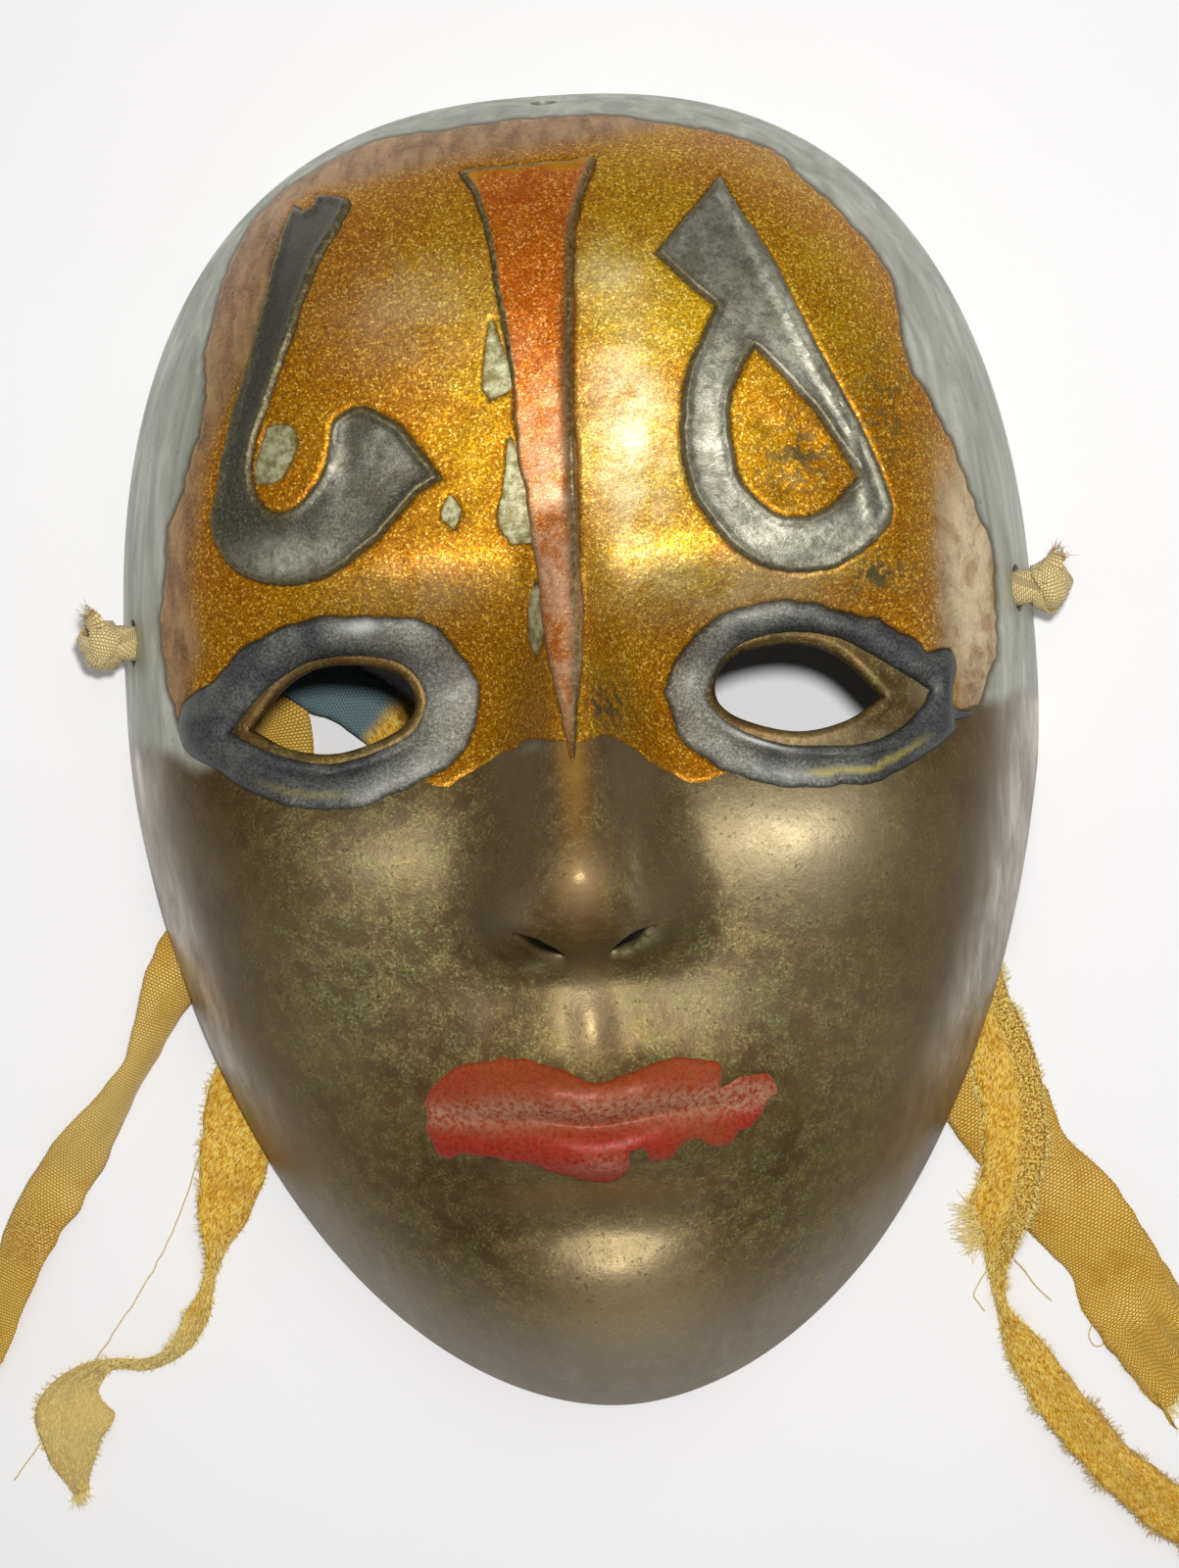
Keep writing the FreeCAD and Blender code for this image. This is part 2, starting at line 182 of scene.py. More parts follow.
def surface(x, y):
    """The outside with its knocks and the unevenness of beaten sheet."""
    uneven = 0.17 * lattice(x, y, 12, 3) + 0.07 * lattice(x, y, 5, 4)
    for cx, cy, rx, ry, depth in DENTS:
        uneven = uneven - depth * spot(x, y, cx, cy, rx, ry)
    return height(x, y) + uneven * smooth((1 - rim_share(x, y)) / 0.08)


def rim_floor(y):
    """Lowest level of the shell: the table, or the arch under each cheek."""
    return np.maximum(ARCH_RISE - ARCH_R + np.sqrt(ARCH_R ** 2 - (y - ARCH_Y) ** 2), 0)


def lifted(flat, lift):
    """Points in millimetres that stand lift off the brass above flat points."""
    x, y = flat[:, 0], flat[:, 1]
    step = 0.15
    lean_x = (surface(x + step, y) - surface(x - step, y)) / (2 * step)
    lean_y = (surface(x, y + step) - surface(x, y - step)) / (2 * step)
    normal = np.c_[-lean_x, -lean_y, np.ones(len(x))]
    normal /= np.linalg.norm(normal, axis=1)[:, None]
    return np.c_[x, y, surface(x, y)] + normal * np.reshape(lift, (-1, 1))


# ---------------------------------------------------------------- flat outlines
def run_through(points, step=0.6):
    """Evenly spaced points on a smooth open curve through the given ones, without the last."""
    p = np.array(points, float)
    if len(p) == 2:
        count = max(1, int(np.linalg.norm(p[1] - p[0]) / step))
        return p[0] + (p[1] - p[0]) * np.arange(count)[:, None] / count
    p = np.vstack([2 * p[0] - p[1], p, 2 * p[-1] - p[-2]])
    made = []
    for a, b, c, d in zip(p, p[1:], p[2:], p[3:]):
        u = np.linspace(0, 1, 24, endpoint=False)[:, None]
        made.append(0.5 * (2 * b + (c - a) * u + (2 * a - 5 * b + 4 * c - d) * u ** 2
                           + (3 * b - a - 3 * c + d) * u ** 3))
    made = np.vstack(made + [p[-2:-1]])
    along = np.r_[0, np.cumsum(np.linalg.norm(np.diff(made, axis=0), axis=1))]
    count = max(2, int(along[-1] / step))
    at = np.linspace(0, along[-1], count, endpoint=False)
    return np.c_[np.interp(at, along, made[:, 0]), np.interp(at, along, made[:, 1])]


def outline(*runs, step=0.6):
    """A closed outline, smooth along each run, with a corner where two runs meet."""
    return np.vstack([
        run_through(list(run) + [runs[(i + 1) % len(runs)][0]], step) for i, run in enumerate(runs)
    ])


def outward(loop):
    """Unit vectors square to a closed outline."""
    along = np.roll(loop, -1, axis=0) - np.roll(loop, 1, axis=0)
    across = np.c_[along[:, 1], -along[:, 0]]
    return across / np.maximum(np.linalg.norm(across, axis=1), 1e-9)[:, None]


def ragged(loop, seed, fine=0.22, coarse=0.3):
    """An outline whose edge wanders as chipped paint does."""
    x, y = loop[:, 0], loop[:, 1]
    shift = fine * lattice(x, y, 1.4, seed) + coarse * lattice(x, y, 5, seed + 50)
    return loop + outward(loop) * shift[:, None]


def inside(points, loop):
    """Which points lie within a closed outline."""
    found = np.zeros(len(points), bool)
    near = np.all((points > loop.min(0)) & (points < loop.max(0)), axis=1)
    p = points[near]
    hits = np.zeros(len(p), bool)
    for (ax, ay), (bx, by) in zip(loop, np.roll(loop, -1, axis=0)):
        if ay == by:
            continue
        crosses = (ay > p[:, 1]) != (by > p[:, 1])
        hits ^= crosses & (p[:, 0] < (bx - ax) * (p[:, 1] - ay) / (by - ay) + ax)
    found[near] = hits
    return found


def clear_of(points, edge, holes):
    """Which points lie within a closed outline and outside its holes."""
    keep = inside(points, edge)
    for hole in holes:
        keep &= ~inside(points, hole)
    return keep


def distance(points, loops):
    """How far each point is from the nearest of the closed outlines."""
    best = np.full(len(points), 1e9)
    for loop in loops:
        for a, b in zip(loop, np.roll(loop, -1, axis=0)):
            d = b - a
            u = np.clip((points - a) @ d / max(d @ d, 1e-12), 0, 1)
            best = np.minimum(best, np.linalg.norm(points - a - u[:, None] * d, axis=1))
    return best


def filled(loops, inner, keep):
    """Triangles between closed outlines: every outline's points, then the inner ones."""
    points = np.vstack(list(loops) + [inner])
    edges, start = [], 0
    for loop in loops:
        n = len(loop)
        edges += [(start + i, start + (i + 1) % n) for i in range(n)]
        start += n
    made = geometry.delaunay_2d_cdt([Vector(p) for p in points], edges, [], 0, 1e-5)
    flat = np.array([tuple(v) for v in made[0]])
    faces = np.array(made[2])
    faces = faces[keep(flat[faces].mean(axis=1))]
    used = np.unique(faces)
    place = np.full(len(flat), -1)
    place[used] = np.arange(len(used))
    source = [ids[0] if ids else -1 for ids in made[3]]
    return flat[used], place[faces], np.array(source)[used]


def open_edges(faces):
    """Directed edges that only one triangle has."""
    pairs = np.vstack([faces[:, [0, 1]], faces[:, [1, 2]], faces[:, [2, 0]]])
    there = {tuple(p) for p in pairs.tolist()}
    return [p for p in there if (p[1], p[0]) not in there]


def ring_points(loops, offsets):
    """Points beside outlines, at set distances on both sides."""
    made, own = [np.zeros((0, 2))], [np.zeros(0)]
    for loop in loops:
        across = outward(loop)
        for offset in offsets:
            for side in (-1, 1):
                made.append(loop + side * offset * across)
                own.append(np.full(len(loop), offset))
    return np.vstack(made), np.hstack(own)


# ---------------------------------------------------------------- meshes and pieces
def add_mesh(name, points, faces, sharp=None, **attributes):
    """A smooth mesh object from points in millimetres, with one number per point for each attribute."""
    mesh = bpy.data.meshes.new(name)
    mesh.from_pydata((np.asarray(points) * MM).tolist(), [], [list(f) for f in faces])
    mesh.update()
    mesh.shade_smooth()
    for key, values in attributes.items():
        mesh.attributes.new(key, "FLOAT", "POINT").data.foreach_set(
            "value", np.broadcast_to(np.asarray(values, np.float32), len(points)).copy())
    if sharp:
        mesh.set_sharp_from_angle(angle=math.radians(sharp))
    piece = bpy.data.objects.new(name, mesh)
    bpy.context.scene.collection.objects.link(piece)
    return piece


def settle(piece, node, material):
    """Gives a piece its material and its body, and hides the CAD node that it stands for."""
    piece.data.materials.append(material)
    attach(piece, BODY)
    if node:
        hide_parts(node)
    return piece


def joined(parts):
    """Several (points, faces) as one."""
    points, faces, start = [], [], 0
    for p, f in parts:
        points.append(np.asarray(p, float))
        faces += [[start + i for i in face] for face in f]
        start += len(p)
    return np.vstack(points), faces


def coat(name, loops, lift, spacing=0.8, rings=(0.15, 0.35, 0.6, 0.95, 1.4), region=None):
    """A closed layer of paint on the brass. lift gives its thickness from x, y and edge distance."""
    low = np.min([loop.min(0) for loop in loops], axis=0)
    high = np.max([loop.max(0) for loop in loops], axis=0)
    xs = np.arange(low[0], high[0], spacing)
    ys = np.arange(low[1], high[1], spacing * 0.87)
    gx, gy = np.meshgrid(xs, ys)
    gx = gx + (np.arange(len(ys)) % 2)[:, None] * spacing / 2
    grid = np.c_[gx.ravel(), gy.ravel()]
    beside, own = ring_points(loops, rings)
    inner = np.vstack([grid, beside])
    need = np.r_[np.full(len(grid), rings[-1]), own * 0.92]
    if region is None:
        def region(points):
            total = np.zeros(len(points), int)
            for loop in loops:
                total += inside(points, loop)
            return total % 2 == 1
    inner, need = inner[region(inner)], need[region(inner)]
    inner = inner[distance(inner, loops) >= need]
    flat, faces, _ = filled(loops, inner, region)
    gap = distance(flat, loops)
    gap[gap < 1e-4] = 0
    x, y = flat[:, 0], flat[:, 1]
    top = lifted(flat, lift(x, y, gap))
    bottom = lifted(flat, np.full(len(flat), -0.25))
    n = len(flat)
    shape = faces.tolist() + [[n + c, n + b, n + a] for a, b, c in faces.tolist()]
    shape += [[b, a, n + a, n + b] for a, b in open_edges(faces)]
    return add_mesh(name, np.vstack([top, bottom]), shape, sharp=50, edge=np.r_[gap, np.zeros(n)])


# ---------------------------------------------------------------- materials
def srgb(red, green, blue):
    """A colour from its screen values of 0 to 255."""
    def straight(v):
        v /= 255
        return v / 12.92 if v <= 0.04045 else ((v + 0.055) / 1.055) ** 2.4
    return (straight(red), straight(green), straight(blue), 1.0)


class Wire:
    """A node's output, which can be added, subtracted, multiplied and painted over."""

    def __init__(self, paint, socket):
        self.paint = paint
        self.socket = socket

    def __add__(self, other):
        return self.paint.math("ADD", self, other)

    def __sub__(self, other):
        return self.paint.math("SUBTRACT", self, other)

    def __rsub__(self, other):
        return self.paint.math("SUBTRACT", other, self)

    def __mul__(self, other):
        return self.paint.math("MULTIPLY", self, other)

    def under(self, share, top):
        """This colour with top over it where share is 1."""
        return self.paint.mix(share, self, top)


class Paint:
    """One node material. Its textures are placed in millimetres of the row frame.

    Colours are screen values of 0 to 255.
    """

    def __init__(self, name, **constants):
        self.material = bpy.data.materials.new(name)
        self.material.use_nodes = True
        self.nodes = self.material.node_tree.nodes
        self.links = self.material.node_tree.links
        self.nodes.clear()
        self.shader = self.nodes.new("ShaderNodeBsdfPrincipled")
        output = self.nodes.new("ShaderNodeOutputMaterial")
        self.links.new(self.shader.outputs[0], output.inputs[0])
        self.place = self.stretched((1 / MM, 1 / MM, 1 / MM), self.node("TexCoord", {}, "Object"))
        self.set(**constants)

    def __getitem__(self, attribute):
        return self.node("Attribute", {}, "Fac", attribute_name=attribute)

    def put(self, socket, value):
        if isinstance(value, Wire):
            self.links.new(value.socket, socket)
        elif socket.type == "RGBA":
            socket.default_value = srgb(*value)
        else:
            socket.default_value = value

    def set(self, **values):
        """Joins or sets the shader's inputs, with _ for each space in their names."""
        for key, value in values.items():
            self.put(self.shader.inputs[key.replace("_", " ")], value)

    def node(self, kind, inputs, out=0, **settings):
        made = self.nodes.new("ShaderNode" + kind)
        for key, value in settings.items():
            setattr(made, key, value)
        for key, value in inputs.items():
            self.put(made.inputs[key], value)
        return Wire(self, made.outputs[out])

    def stretched(self, factors, place=None):
        return self.node("VectorMath", {0: place or self.place, 1: factors}, operation="MULTIPLY")

    def noise(self, size, detail=3.0, rough=0.55, warp=0.0, place=None):
        return self.node("TexNoise", {"Vector": place or self.place, "Scale": 1 / size, "Detail": detail,
                                      "Roughness": rough, "Distortion": warp}, "Fac")

    def math(self, operation, a, b, clamp=False):
        return self.node("Math", {0: a, 1: b}, operation=operation, use_clamp=clamp)

    def band(self, value, low, high, out_low=0.0, out_high=1.0):
        """value from low to high as a smooth step from out_low to out_high."""
        return self.node("MapRange", {"Value": value, "From Min": low, "From Max": high, "To Min": out_low,
                                      "To Max": out_high}, interpolation_type="SMOOTHSTEP")

    def ramp(self, value, *stops):
        made = self.node("ValToRGB", {0: value})
        elements = made.socket.node.color_ramp.elements
        while len(elements) < len(stops):
            elements.new(0.5)
        for element, (at, colour) in zip(elements, stops):
            element.position = at
            element.color = srgb(*colour)
        return made

    def mix(self, share, a, b):
        return self.node("Mix", {0: share, 6: a, 7: b}, 2, data_type="RGBA")

    def bump(self, value, depth, before=None):
        """Relief of depth millimetres where value goes from 0 to 1."""
        inputs = {"Strength": 1.0, "Distance": depth * MM, "Height": value}
        if before:
            inputs["Normal"] = before
        return self.node("Bump", inputs)


def aged_brass():
    """The shell: dark mottled patina, polished where it is handled, grey-green on the walls, with painted
    highlights on the cheeks, chin, nose and lower side walls.
    """
    m = Paint("aged_brass", Specular_IOR_Level=0.3)
    grain = m.noise(0.42, 4, 0.8)
    cloud = m.noise(9, 3, 0.6)
    blotch = m.noise(2.8, 5, 0.75, 0.3)
    density = m["mottle"] * m.band(blotch, 0.42, 0.58, 0.05, 1.0)
    green = m.mix(m.band(m.noise(6, 3), 0.45, 0.6), (120, 104, 52), (94, 100, 46))
    face = m.mix(m.band(cloud, 0.35, 0.65), (72, 50, 24), (88, 70, 36)).under(density * 0.75, green)
    # Pale patches on the cheeks, chin, philtrum and nose: partly paler worn brass, partly a painted
    # highlight.
    face = face.under(m["glow"], (168, 154, 118)).under(m["cavity"] * 0.9, (118, 102, 78))
    face = face.under(m.band(grain, 0.5, 0.6) * (density * 0.75 + 0.06), (176, 164, 106))
    face = face.under(m.band(m.noise(0.7, 3, 0.7), 0.56, 0.66) * (density * 0.6 + 0.2), (50, 40, 20))
    polish = m["polish"] * m.band(grain, 0.2, 0.65, 0.75, 1.0)
    face = face.under(polish, (158, 114, 50))
    streaks = m.noise(6, 4, 0.6, 0.6, m.stretched((1.3, 0.3, 1.0)))
    wall = m.ramp(streaks, (0.3, (140, 142, 127)), (0.5, (168, 170, 155)), (0.72, (202, 202, 190)))
    wall = wall.under(m.band(m.noise(0.9, 4, 0.7), 0.6, 0.75), (98, 100, 84))
    # Painted highlight on the lower side walls: a whitish sheen in vertical streaks.
    fine = m.noise(3.0, 4, 0.6, 0.4, m.stretched((1.6, 0.3, 0.5)))
    side = m.ramp(fine, (0.3, (124, 112, 94)), (0.5, (170, 160, 144)), (0.72, (216, 208, 196)))
    tan = m.mix(m.band(cloud, 0.4, 0.6), (124, 94, 62), (150, 118, 84))
    # Bare brass, also used for a painted glint on the nose.
    bare = m.mix(m.band(m.noise(1.6, 4, 0.7), 0.36, 0.62), (132, 124, 76), (190, 186, 146))
    back = m.mix(m.band(cloud, 0.4, 0.62), (92, 78, 50), (118, 108, 74))
    back = back.under(m.band(grain, 0.55, 0.7), (66, 60, 42))
    colour = face.under(m["wall"], wall).under(m["shine"], side).under(m["tan"], tan)
    plain = m["wall"] * 0.3 + m["ball"] * 0.25
    rough = m.band(grain, 0.3, 0.8, 0.4, 0.54) + density * 0.1 - m["shine"] * 0.12
    m.set(
        Base_Color=colour.under(m["bare"], bare).under(m["within"], back),
        Metallic=m.math("SUBTRACT", 0.55, plain, clamp=True),
        Roughness=m.math("SUBTRACT", rough, polish * 0.14 + m["ball"] * 0.06, clamp=True),
        Normal=m.bump(blotch, 0.14, m.bump(grain, 0.03)),
    )
    return m.material


def glitter(m, dark, middle, bright, flash, size=0.26):
    """A fine metallic grain: its colour, its relief and the tilt of each flake, with painted glints on a few
    flakes.
    """
    flakes = m.node("TexVoronoi", {"Vector": m.place, "Scale": 1 / size}, "Color")
    red = m.node("SeparateColor", {0: flakes})
    _, tilt, bright_share = [Wire(m, output) for output in red.socket.node.outputs]
    level = red * 0.3 + m.noise(size * 1.6, 3, 0.75) * 0.85
    colour = m.ramp(level, (0.36, dark), (0.58, middle), (0.8, bright))
    # A few flakes get a near-white colour: painted glints.
    return colour.under(m.band(bright_share, 0.86, 0.94) * 0.75, flash), level, tilt


def gold_paint():
    m = Paint("gold_paint", Metallic=0.65, Specular_IOR_Level=0.2)
    broad = m.noise(13, 4, 0.6)
    amber, level, tilt = glitter(m, (130, 68, 0), (168, 100, 0), (206, 142, 6), (250, 204, 80))
    light, _, _ = glitter(m, (150, 108, 0), (194, 150, 6), (236, 198, 40), (255, 238, 130))
    # Broad yellower patches: partly the paint's own tone, partly a painted highlight on the brows and right
    # of the stripe.
    colour = amber.under(m["yellow"] * m.band(broad, 0.36, 0.6, 0.3, 1.0), light)
    brushed = m.noise(4, 4, 0.6, 0.3, m.stretched((1.5, 0.5, 0.5)))
    dull = m.mix(m.band(brushed, 0.35, 0.65), (122, 90, 50), (176, 140, 92))
    dull = dull.under(m.band(level, 0.4, 0.8, 0.0, 0.35), (206, 160, 110))
    colour = colour.under(m["fade"], dull)
    # Painted highlight: pale streaky sheen laid over the gold where it catches the light.
    streaks = m.band(m.noise(5, 4, 0.7, 0.5), 0.34, 0.58, 0.2, 0.75)
    colour = colour.under(m["sheen"] * streaks, (244, 228, 184))
    colour = colour.under(m["stain"] * m.band(m.noise(1.5, 4, 0.7), 0.46, 0.56), (96, 86, 54))
    m.set(
        Base_Color=colour.under(m.band(m["edge"], 0.0, 0.35, 0.55, 0.0), (84, 66, 32)),
        Roughness=m.band(tilt, 0.0, 1.0, 0.34, 0.56),
        Normal=m.bump(broad, 0.3, m.bump(level, 0.07)),
    )
    return m.material


def copper_paint():
    m = Paint("copper_paint", Metallic=0.65, Specular_IOR_Level=0.2)
    colour, level, tilt = glitter(m, (148, 66, 2), (192, 98, 10), (226, 144, 44), (255, 200, 120))
    colour = colour.under(m.band(m.noise(4, 4, 0.65, 0.4), 0.45, 0.65, 0.0, 0.6), (172, 76, 6))
    # Painted highlight: pinkish-silver sheen on the lower half of the stripe.
    pale = m["sheen"] * m.band(m.noise(3, 4, 0.65, 0.6), 0.34, 0.62, 0.15, 1.0)
    colour = colour.under(pale * 0.6, (240, 204, 164)).under(m["fade"], (206, 140, 28))
    border = m.band(m["edge"] + m.noise(1.2, 3) * 0.5, 0.75, 1.3, 1.0, 0.0) * m["bordered"]
    olive = m.ramp(m.noise(0.7, 4, 0.7),
                   (0.35, (72, 64, 38)), (0.55, (122, 112, 76)), (0.72, (170, 162, 126)))
    m.set(
        Base_Color=colour.under(m.math("MAXIMUM", border, m["ridge"]), olive),
        Roughness=m.band(tilt, 0.0, 1.0, 0.3, 0.48),
        Normal=m.bump(level, 0.07),
    )
    return m.material


def grey_enamel():
    m = Paint("grey_enamel", Metallic=0.55)
    grain = m.noise(0.4, 4, 0.8)
    brushed = m.noise(1.6, 4, 0.7, 0.5)
    colour = m.ramp(grain, (0.3, (44, 40, 32)), (0.52, (76, 72, 58)), (0.74, (136, 130, 110)))
    # Painted highlight: a pale silvery sheen on the enamel.
    colour = colour.under(m["sheen"] * m.band(brushed, 0.3, 0.65, 0.35, 1.0),
                          m.mix(grain, (134, 130, 108), (230, 228, 208)))
    colour = colour.under(m.band(m.noise(5, 3, 0.6), 0.5, 0.68, 0.0, 0.5), (84, 78, 56))
    colour = colour.under(m["dark"] * 0.7, m.mix(grain, (40, 38, 34), (92, 88, 78)))
    # The olive border is lighter under the painted highlight.
    border = m.band(m["edge"] + m.noise(1.0, 3) * 0.9, 1.2, 1.85, 0.9, 0.0) * (1.0 - m["sheen"] * 0.45)
    olive = m.ramp(m.noise(0.7, 4, 0.7), (0.35, (66, 58, 36)), (0.55, (104, 94, 62)), (0.72, (150, 140, 102)))
    m.set(
        Base_Color=colour.under(border, olive),
        Roughness=m.band(grain, 0.3, 0.7, 0.3, 0.46),
        Normal=m.bump(brushed, 0.1, m.bump(grain, 0.06)),
    )
    return m.material


def slate_enamel():
    m = Paint("slate_enamel", Metallic=0.2, Coat_Weight=0.15, Coat_Roughness=0.3)
    grain = m.noise(0.4, 4, 0.8)
    cloud = m.noise(4, 3, 0.6)
    worn = m.ramp(grain, (0.34, (82, 82, 74)), (0.52, (134, 133, 120)), (0.7, (200, 198, 182)))
    worn = worn.under(m.band(m.noise(3, 4, 0.7), 0.52, 0.66, 0.0, 0.6), (108, 104, 84))
    fresh = m.ramp(grain, (0.4, (30, 31, 32)), (0.7, (86, 88, 86)))
    colour = worn.under(m["dark"] * m.band(cloud, 0.2, 0.5, 0.8, 1.0), fresh)
    colour = colour.under(m.band(m["edge"] + m.noise(0.9, 3) * 0.6, 0.4, 0.9, 0.6, 0.0), (22, 22, 20))
    colour = colour.under(m["line"], m.mix(grain, (120, 110, 50), (176, 160, 80)))
    m.set(
        # Painted highlight: a white glint in the right rim's groove and on top of the left rim.
        Base_Color=colour.under(m["gleam"], (232, 232, 228)),
        Roughness=m.band(grain, 0.3, 0.7, 0.36, 0.58),
        Normal=m.bump(cloud, 0.25, m.bump(grain, 0.08)),
    )
    return m.material


def red_enamel():
    m = Paint("red_enamel", Metallic=0.1, Coat_Weight=0.08, Coat_Roughness=0.3, Specular_IOR_Level=0.2)
    grain = m.noise(0.5, 4, 0.75)
    worn = m.mix(m.band(grain, 0.4, 0.62), (152, 60, 14), (124, 48, 10))
    fresh = m.mix(m.band(grain, 0.4, 0.65), (160, 34, 0), (120, 22, 0))
    # Rubbed wear along the line between the lips, with a painted highlight on the middle of the lower lip.
    rub = m["rub"] * m.band(m.noise(0.7, 5, 0.75), 0.36, 0.6)
    rubbed = m.mix(grain, (142, 90, 62), (194, 148, 118))
    m.set(
        Base_Color=worn.under(m["fresh"], fresh).under(rub, rubbed),
        Roughness=m.band(grain, 0.3, 0.7, 0.36, 0.56),
        Normal=m.bump(grain, 0.06),
    )
    return m.material


def ribbon_cloth(name, light, base, deep, pile):
    """Woven ribbon: along and across count millimetres of cloth. A pile ribbon is rough and deep."""
    m = Paint(name, Sheen_Weight=0.1, Sheen_Roughness=0.4, Specular_IOR_Level=0.3)
    place = m.node("CombineXYZ", {0: m["across"], 1: m["along"]})
    strands = m.noise(0.4, 3, 0.7, 0.2, m.stretched((1.0, 1.2, 1.0), place))
    gap = m.node("TexBrick", {"Vector": place, "Scale": 1.0, "Mortar Size": 0.12, "Mortar Smooth": 1.0,
                              "Brick Width": 0.66, "Row Height": 0.44}, "Fac", offset=0.5)
    if pile:
        turned = m.node("VectorRotate", {"Vector": place, "Angle": 0.5}, rotation_type="Z_AXIS")
        flecks = m.noise(0.42, 3, 0.75, 0.3, m.stretched((1.5, 0.45, 1.0), turned))
        level = flecks * 0.7 + m.noise(1.3, 3, 0.7, 0.4, m.stretched((1.2, 0.6, 1.0), place)) * 0.3
        colour = m.ramp(level, (0.39, deep), (0.49, base), (0.58, light))
        m.set(Normal=m.bump(level, 0.5), Roughness=0.5)
    else:
        colour = m.mix(m.band(strands, 0.35, 0.65), base, light).under(gap * 0.85, deep)
        m.set(Normal=m.bump(strands * 0.4 - gap, 0.12), Roughness=0.38)
    # Broad darker patches along the cloth: painted shade standing in for its folds.
    worn = m.band(m.noise(7, 4, 0.65, 0.4, place), 0.48, 0.7, 0.0, 0.6)
    colour = colour.under(worn, m.mix(0.4, deep, base))
    # Painted reflection: a blue-grey sheen on the start of the left pile ribbon, behind the left eye.
    tinted = m.mix(strands, (84, 112, 122), (150, 176, 178)).under(gap * 0.8, (40, 56, 64))
    colour = colour.under(m["tint"], tinted)
    colour = colour.under(m["dull"], m.mix(strands, (196, 164, 90), (240, 220, 156)))
    # Loose fibres get a near-white yellow: partly their own paler colour, partly painted light.
    colour = colour.under(m["fuzz"], m.mix(0.9, base, (255, 236, 150)))
    # Brown: the cloth's own darker tone, and painted shade of a fold along one edge of the right pile ribbon.
    brown = m.mix(m.band(strands, 0.45, 0.6), (160, 96, 14), light)
    m.set(Base_Color=colour.under(m["brown"], brown))
    return m.material


def pale_floor():
    m = Paint("pale_floor", Roughness=0.85, Specular_IOR_Level=0.15)
    m.set(Base_Color=m.mix(m.noise(40, 3), (247, 246, 246), (250, 249, 249)))
    return m.material


# ---------------------------------------------------------------- outlines of the decoration
def set_in_face(loop, side):
    """Turns an outline drawn about an eye's middle to the droop of that eye and moves it there."""
    angle = math.radians(-EYE_DROOP)
    x = loop[:, 0] * math.cos(angle) - loop[:, 1] * math.sin(angle)
    y = loop[:, 0] * math.sin(angle) + loop[:, 1] * math.cos(angle)
    moved_x, moved_y = EYE_MOVED[side]
    return np.c_[side * (x + EYE_X + moved_x), y + EYE_Y + moved_y]


def almond(side, half_length, up, down, blunt, step=0.6, reach=0.0):
    """An eye shape: a point outside, drawn out by reach, and a rounder end by the nose."""
    inner, outer = -half_length, half_length + reach
    return set_in_face(outline([
        (outer, -0.5), (0.45 * half_length, 0.8 * up), (-0.15 * half_length, up),
        (0.8 * inner, blunt * up), (inner, 0), (0.75 * inner, -blunt * down),
        (-0.05 * half_length, -down), (0.55 * half_length, -0.72 * down),
    ], step=step), side)


def eye_hole(side):
    return almond(side, 12.0, 6.4, 5.6, 0.65, 0.45)


def eye_inner_edge(side):
    if side < 0:
        return ragged(almond(side, 13.3, 7.5, 6.9, 0.7, reach=1.6), 20, 0.08, 0.2)
    return ragged(set_in_face(outline(
        [(18.4, 0.6), (11.6, 4.4), (8.1, 6.3), (4.4, 7.7), (-0.4, 8.0), (-5.6, 7.2), (-9.8, 4.9), (-12.6, 0),
         (-11.8, -2.8), (-9, -5.2), (-5.2, -6.8), (0, -7.7), (7.8, -7.4), (13, -5.6), (17.2, -2.0)],
    ), side), 22, 0.06, 0.15)


def eye_outer_edge(side):
    if side < 0:
        loop = outline([(23.2, 1.2), (21.4, 4.6), (17.5, 6.6), (9, 11.6), (-2, 13.2), (-16, 9.6), (-20.6, 0),
                        (-15.5, -9.6), (-1, -13.4), (11, -10.4), (18.5, -5.2), (22.4, -2.2)])
    else:
        loop = outline(
            [(21.2, 6.4), (22.1, 3.8), (21.9, -1.5)],
            [(25, -1.9), (24.8, -2.9)],
            [(22, -3.4), (21.6, -5.6), (16.1, -10.1), (11.4, -12.2), (2.6, -13.6), (-3.5, -13.4),
             (-9.4, -11.9), (-14, -9), (-17.2, -5.1), (-18.7, 0.3), (-15.6, 6.4), (-10.8, 10.2),
             (-4.2, 12.2), (1.9, 12.2), (7, 10.8)],
            [(10.6, 10.6), (16.5, 7.4)],
            [(17.8, 6.0)],
        )
    return ragged(set_in_face(loop, side), 24 + side, 0.2, 0.4)


def wedge_edge():
    return ragged(outline(
        [(-12, 83)],
        [(8, 84), (4.5, 73), (3, 53), (2.5, 33), (2, 14)],
        [(0, -3), (-2.5, 11), (-5, 36), (-7, 62), (-9, 76)],
    ), 11, 0.12, 0.3)


def hook_edge():
    return ragged(outline(
        [(-37, 82), (-34.5, 80)],
        [(-33, 82.5), (-28, 80)],
        [(-29.5, 76), (-33, 69), (-38, 56), (-42, 46), (-43, 40), (-41, 36), (-37, 36), (-33, 40)],
        [(-31, 47.5), (-27, 49), (-23, 47), (-20, 44)],
        [(-16, 38), (-20, 36), (-26, 30), (-33, 25.5), (-41, 25), (-48, 30), (-49, 38), (-44, 55), (-40, 69)],
    ), 12, 0.12, 0.3)


def loop_outer_edge():
    return ragged(outline(
        [(25, 80)],
        [(31, 68), (37, 54), (43, 41), (46, 31)],
        [(43.5, 26), (36, 22.5), (27, 23.5), (20, 30), (17, 40), (18.5, 51)],
        [(23, 60)],
        [(15, 68)],
    ), 13, 0.1, 0.25)


